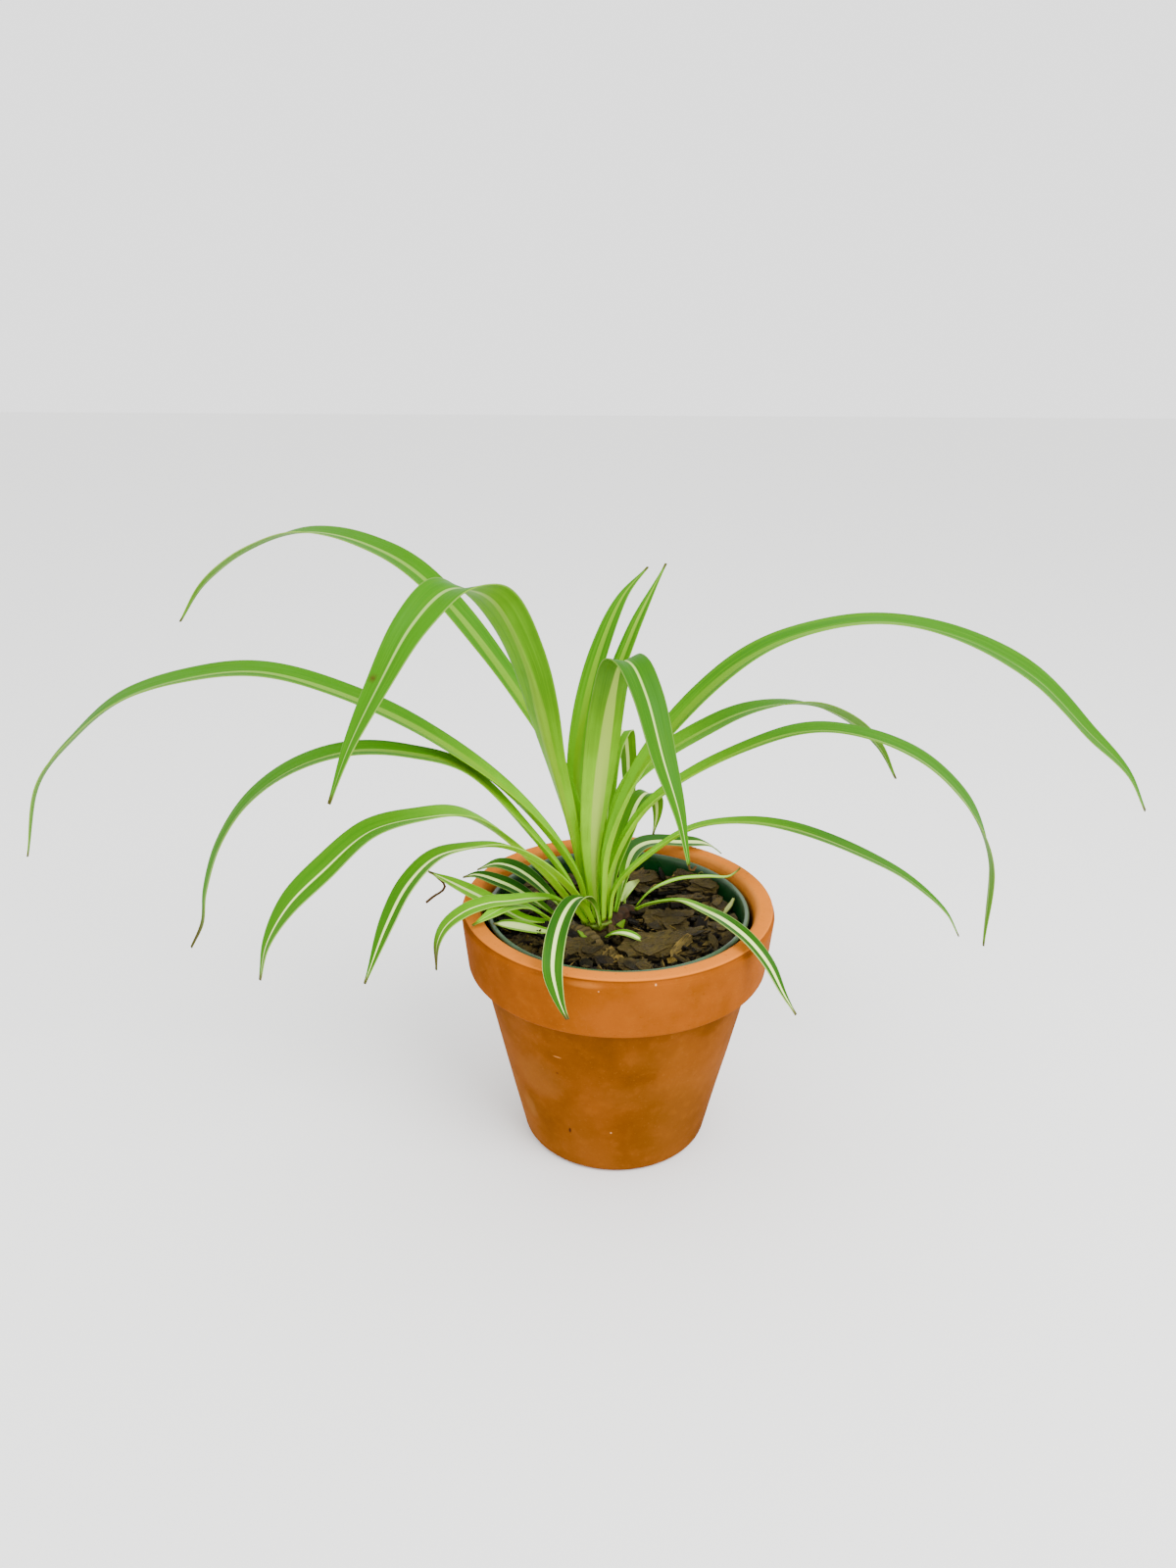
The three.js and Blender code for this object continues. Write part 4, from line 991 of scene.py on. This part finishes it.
def makeLeaf(name, leaf, look, materials, slot, number, *nodes):
    path = smoothPath(leaf["spine"])
    length = path[-1][0]
    bm = bmesh.new()
    uv = bm.loops.layers.uv.new("blade")
    bmesh.ops.create_grid(bm, x_segments=blade["columns"], y_segments=round(length / blade["rowSpacing"]),
                          size=0.5)
    for face in bm.faces:
        for loop in face.loops:
            loop[uv].uv = (loop.vert.co.x + 0.5, loop.vert.co.y + 0.5)
    veinSeed, waveSeed = blade["seeds"]
    marks = ("skySheen", "deep", "stripe", "pale", "white", "streak", "margin")
    floats = {key: bm.verts.layers.float.new(key) for key in ("reach", "width", "shift", "dry", *marks)}
    tipDry = look.get("tipDry", blade["dryTip"] / length)
    stations = {}
    for vert in bm.verts:
        share = round(vert.co.y + 0.5, 5)
        if share not in stations:
            stations[share] = bladeStation(leaf, path, share)
        centre, across, up, fold, half = stations[share]
        place = -2 * vert.co.x
        # a V with a rounded keel, and margins that wave a little
        rise = math.sqrt(place * place + blade["keel"]) - 0.5
        wave = noise.noise(Vector((share * length * blade["rippleScale"], 3 * place, number * waveSeed)))
        spot = centre + across * place * half * math.cos(fold) + up * rise * half * math.sin(fold)
        spot += up * wave * blade["ripple"] * place * place * min(half / 5, 1)
        vert[floats["reach"]] = length * mm
        vert[floats["width"]] = leaf["width"] * mm
        vert[floats["shift"]] = number * veinSeed
        # the brown of the tip fades in around the length given
        dry = blade["dryness"] * smoothStep(share, 1 - 1.6 * tipDry, 1 - 0.4 * tipDry)
        for spotShare, spotAcross, size in look.get("spots", []):
            away = math.hypot((share - spotShare) * length, (vert.co.x + 0.5 - spotAcross) * 2 * half)
            dry = max(dry, blade["dryness"] * smoothStep(away, size, 0.3 * size))
        vert[floats["dry"]] = look.get("withered", dry)
        for key in marks:
            vert[floats[key]] = max(0, along(look[key], share))
        vert.co = spot * mm
    piece = finishPiece(name.replace("_", "") + "Blade", bm, materials, slot, *nodes)
    wall = piece.modifiers.new("bladeThickness", "SOLIDIFY")
    wall.thickness = blade["thickness"] * mm
    wall.offset = 0
    wall.use_even_offset = True
    wall.material_offset = 1
    wall.material_offset_rim = 1


def makeLeaves():
    materials = [bladeMaterial(name, shades) for name, shades in bladeColours.items()]
    for number, (name, leaf) in enumerate(leaves.items()):
        green = number < blade["green"]
        look = {**(greenLook if green else stripedLook), **looks.get(name, {})}
        makeLeaf(name, leaf, look, materials, "leaf_green" if green else "leaf_striped", number, name)
    for number, (name, bit) in enumerate(witheredBits.items()):
        pale = name in ("straw", "paleCurl")
        look = {**stripedLook, "withered": 0.7 if pale else 1, "stripe": [1, 1]}
        makeLeaf(name, bit, look, materials, "leaf_striped", 40 + number)
    print("leaves made:", len(leaves) + len(witheredBits))


# Crowns and roots: each stalk runs from start to end and rises by bend in its middle
stalks = {
    "oldStem": {"start": (-23.5, 0, 110.8), "end": (-9.5, -17.5, 111.6), "bend": 1.2,
                "radii": (4, 4.8, 3.6), "rings": 6, "ringHeight": 0.4, "flat": 1, "tone": 0.42,
                "rough": 0.35},
    "oldRoot": {"start": (-8, -3, 111), "end": (6.5, 17.5, 113.5), "bend": 0.6, "radii": (3, 4.8, 3.9),
                "rings": 4, "ringHeight": 0.4, "flat": 1, "tone": 0.05, "rough": 1.3},
    "cutLeafFront": {"start": (-19, -9, 115.6), "end": (-13.3, -19, 112.4), "bend": 0.5,
                     "radii": (1.5, 2.2, 2.1), "rings": 0, "ringHeight": 0, "flat": 0.6, "tone": 1,
                     "rough": 0.12},
    "cutLeafBack": {"start": (-1, -0.5, 110.5), "end": (3.6, -1.5, 118), "bend": 0,
                    "radii": (2.4, 2.1, 0.5), "rings": 0, "ringHeight": 0, "flat": 0.45, "tone": 1,
                    "rough": 0.1},
}


def rhizomeMaterial():
    f = Finish("stemAndRoot", Specular_IOR_Level=0.25)
    tone = f.attribute("tone")  # 0 dark root, 0.4 ringed stem, 1 fresh green
    ring = f.attribute("ring")  # 1 in the creases between the rings of a stem
    grain = f.noise(f.place, 260, 4, 0.65)
    fibres = f.noise(f.stretched(f.place, (1, 1, 0.2)), 900, 2)
    brown = f.mix(grain, (30, 16, 4), (62, 38, 12))
    stem = f.mix(grain, (54, 42, 16), (90, 76, 34))
    fresh = f.mix(fibres, (66, 108, 0), (112, 150, 26))
    base = f.mix(f.fade(tone, 0.1, 0.4), brown, stem)
    base = f.mix(f.times(ring, 0.6), base, (20, 12, 4))
    base = f.mix(f.fade(tone, 0.55, 0.9), base, fresh)
    normal = f.bump(fibres, 0.3, 0.2, f.bump(grain, 0.5, 0.5))
    return f.done(base, f.fade(tone, 0, 1, 0.85, 0.5), normal)


def addCrown(bm, x, y, root, foot, brim, top):
    # a foot in the mix, and above it a cup that widens up to its lip
    tone = bm.verts.layers.float["tone"]
    level = barkMix["level"]
    lip = 1.2
    outline = [(0, level - 7), (0.8 * root, level - 7), (root, level - 5), (root, level - 2)]
    outline += slopePoints((foot, level), (brim, top - lip), 0.8)
    outline += arc(brim - lip, top - lip, lip, 0, 80, 4)
    outline += slopePoints((brim - 2, top), (1, top), 1) + [(0, top)]
    for vert in addMesh(bm, spinMesh(outline, 64))[0]:
        # the sheaths of the leaves clasp the crown in turn
        angle = math.atan2(vert.co.y, vert.co.x)
        height = vert.co.z / mm - level
        ridge = 0.35 * math.sin(5 * angle + 0.8 * height) + 0.3 * math.sin(13 * angle)
        outward = Vector((vert.co.x, vert.co.y, 0))
        if height > -1 and outward.length > 2 * mm:
            vert.co += outward.normalized() * ridge * mm * min(1, (height + 1) / 3)
        vert[tone] = 0.35 + 0.4 * smoothStep(height, 0, 3)
        if outward.length < (brim - 1.6) * mm and height > 1:
            vert[tone] = 0.5
        vert.co += Vector((x, y, 0)) * mm


def addStalk(bm, stalk, steps=48):
    tone, ring = bm.verts.layers.float["tone"], bm.verts.layers.float["ring"]
    start, end = Vector(stalk["start"]), Vector(stalk["end"])
    length = (end - start).length
    first, middle, last = stalk["radii"]
    ringTurns = 2 * math.pi * stalk["rings"]
    outline = [(0, 0)]
    for i in range(steps + 1):
        share = i / steps
        swell = mixed(first, middle, 2 * share) if share < 0.5 else mixed(middle, last, 2 * share - 1)
        swell += stalk["ringHeight"] * math.cos(ringTurns * share)
        # both ends are rounded off
        outline.append((swell * min(1, 0.75 + 8 * min(share, 1 - share)), share * length))
    outline.append((0, length))
    verts, _ = addMesh(bm, spinMesh(outline, 36))
    for vert in verts:
        vert[tone] = stalk["tone"]
        crease = 0.5 - 0.5 * math.cos(ringTurns * vert.co.z / mm / length)
        vert[ring] = crease ** 2
        vert.co += noise.noise_vector(vert.co * 300) * stalk["rough"] * mm
    turn = Vector((0, 0, 1)).rotation_difference(end - start).to_matrix().to_4x4()
    bmesh.ops.transform(bm, verts=verts, matrix=Matrix.Translation(start * mm) @ turn
                        @ Matrix.Diagonal((1, stalk["flat"], 1, 1)))
    for vert in verts:
        share = (vert.co / mm - start).dot(end - start) / length ** 2
        vert.co.z += stalk["bend"] * math.sin(math.pi * max(0, min(share, 1))) * mm


def makeRhizome():
    bm = bmesh.new()
    bm.verts.layers.float.new("tone")
    bm.verts.layers.float.new("ring")
    for crown in crowns:
        addCrown(bm, *crown)
    for stalk in stalks.values():
        addStalk(bm, stalk)
    finishPiece("crownsAndRoots", bm, [rhizomeMaterial()], "rhizome", "rhizome")
    print("crowns and roots made")


# Floor, light and camera
studio = {
    "floorColour": (240, 240, 239),
    "floorSize": 6,  # metres, as for the lights
    "sky": 2.1,
    "camera": (-15.15, -504.1, 388.4),
    "pitch": -21.45,
    "bank": 0.33,
    "lens": 26,
    "lights": {
        "softKey": {"place": (0.7, -0.9, 1.3), "size": 1.0, "power": 36},
        "softFill": {"place": (-1.1, -0.5, 0.9), "size": 1.2, "power": 4},
    },
    "lightTarget": (0, 0, 0.12),
}


def makeStudio():
    s = studio
    bm = bmesh.new()
    bmesh.ops.create_grid(bm, x_segments=1, y_segments=1, size=s["floorSize"])
    floor = addObject("floor", asMesh(bm, "floor"))
    floor.location.z = -0.2 * mm
    floor.data.materials.append(
        Finish("paleFloor", Roughness=0.9, Base_Color=colour(*s["floorColour"])).material)

    world = bpy.data.worlds.new("studio")
    world.use_nodes = True
    world.node_tree.nodes["Background"].inputs["Color"].default_value = (1, 1, 1, 1)
    world.node_tree.nodes["Background"].inputs["Strength"].default_value = s["sky"]
    bpy.context.scene.world = world
    for name, values in s["lights"].items():
        lamp = addObject(name, bpy.data.lights.new(name, "AREA"))
        lamp.data.shape = "DISK"
        lamp.data.size = values["size"]
        lamp.data.energy = values["power"]
        lamp.location = values["place"]
        aim = Vector(s["lightTarget"]) - lamp.location
        lamp.rotation_euler = aim.to_track_quat("-Z", "Y").to_euler()

    camera = addObject("camera", bpy.data.cameras.new("camera"))
    camera.data.lens = s["lens"]
    camera.data.sensor_width = 36
    camera.location = Vector(s["camera"]) * mm
    turn = Matrix.Rotation(math.radians(90 + s["pitch"]), 3, "X")
    turn = turn @ Matrix.Rotation(math.radians(s["bank"]), 3, "Z")
    camera.rotation_euler = turn.to_euler()
    bpy.context.scene.camera = camera
    print("studio made")


makeStudio()
makeClayPot()
makePlasticPot()
makeBarkMix()
makeRhizome()
makeLeaves()
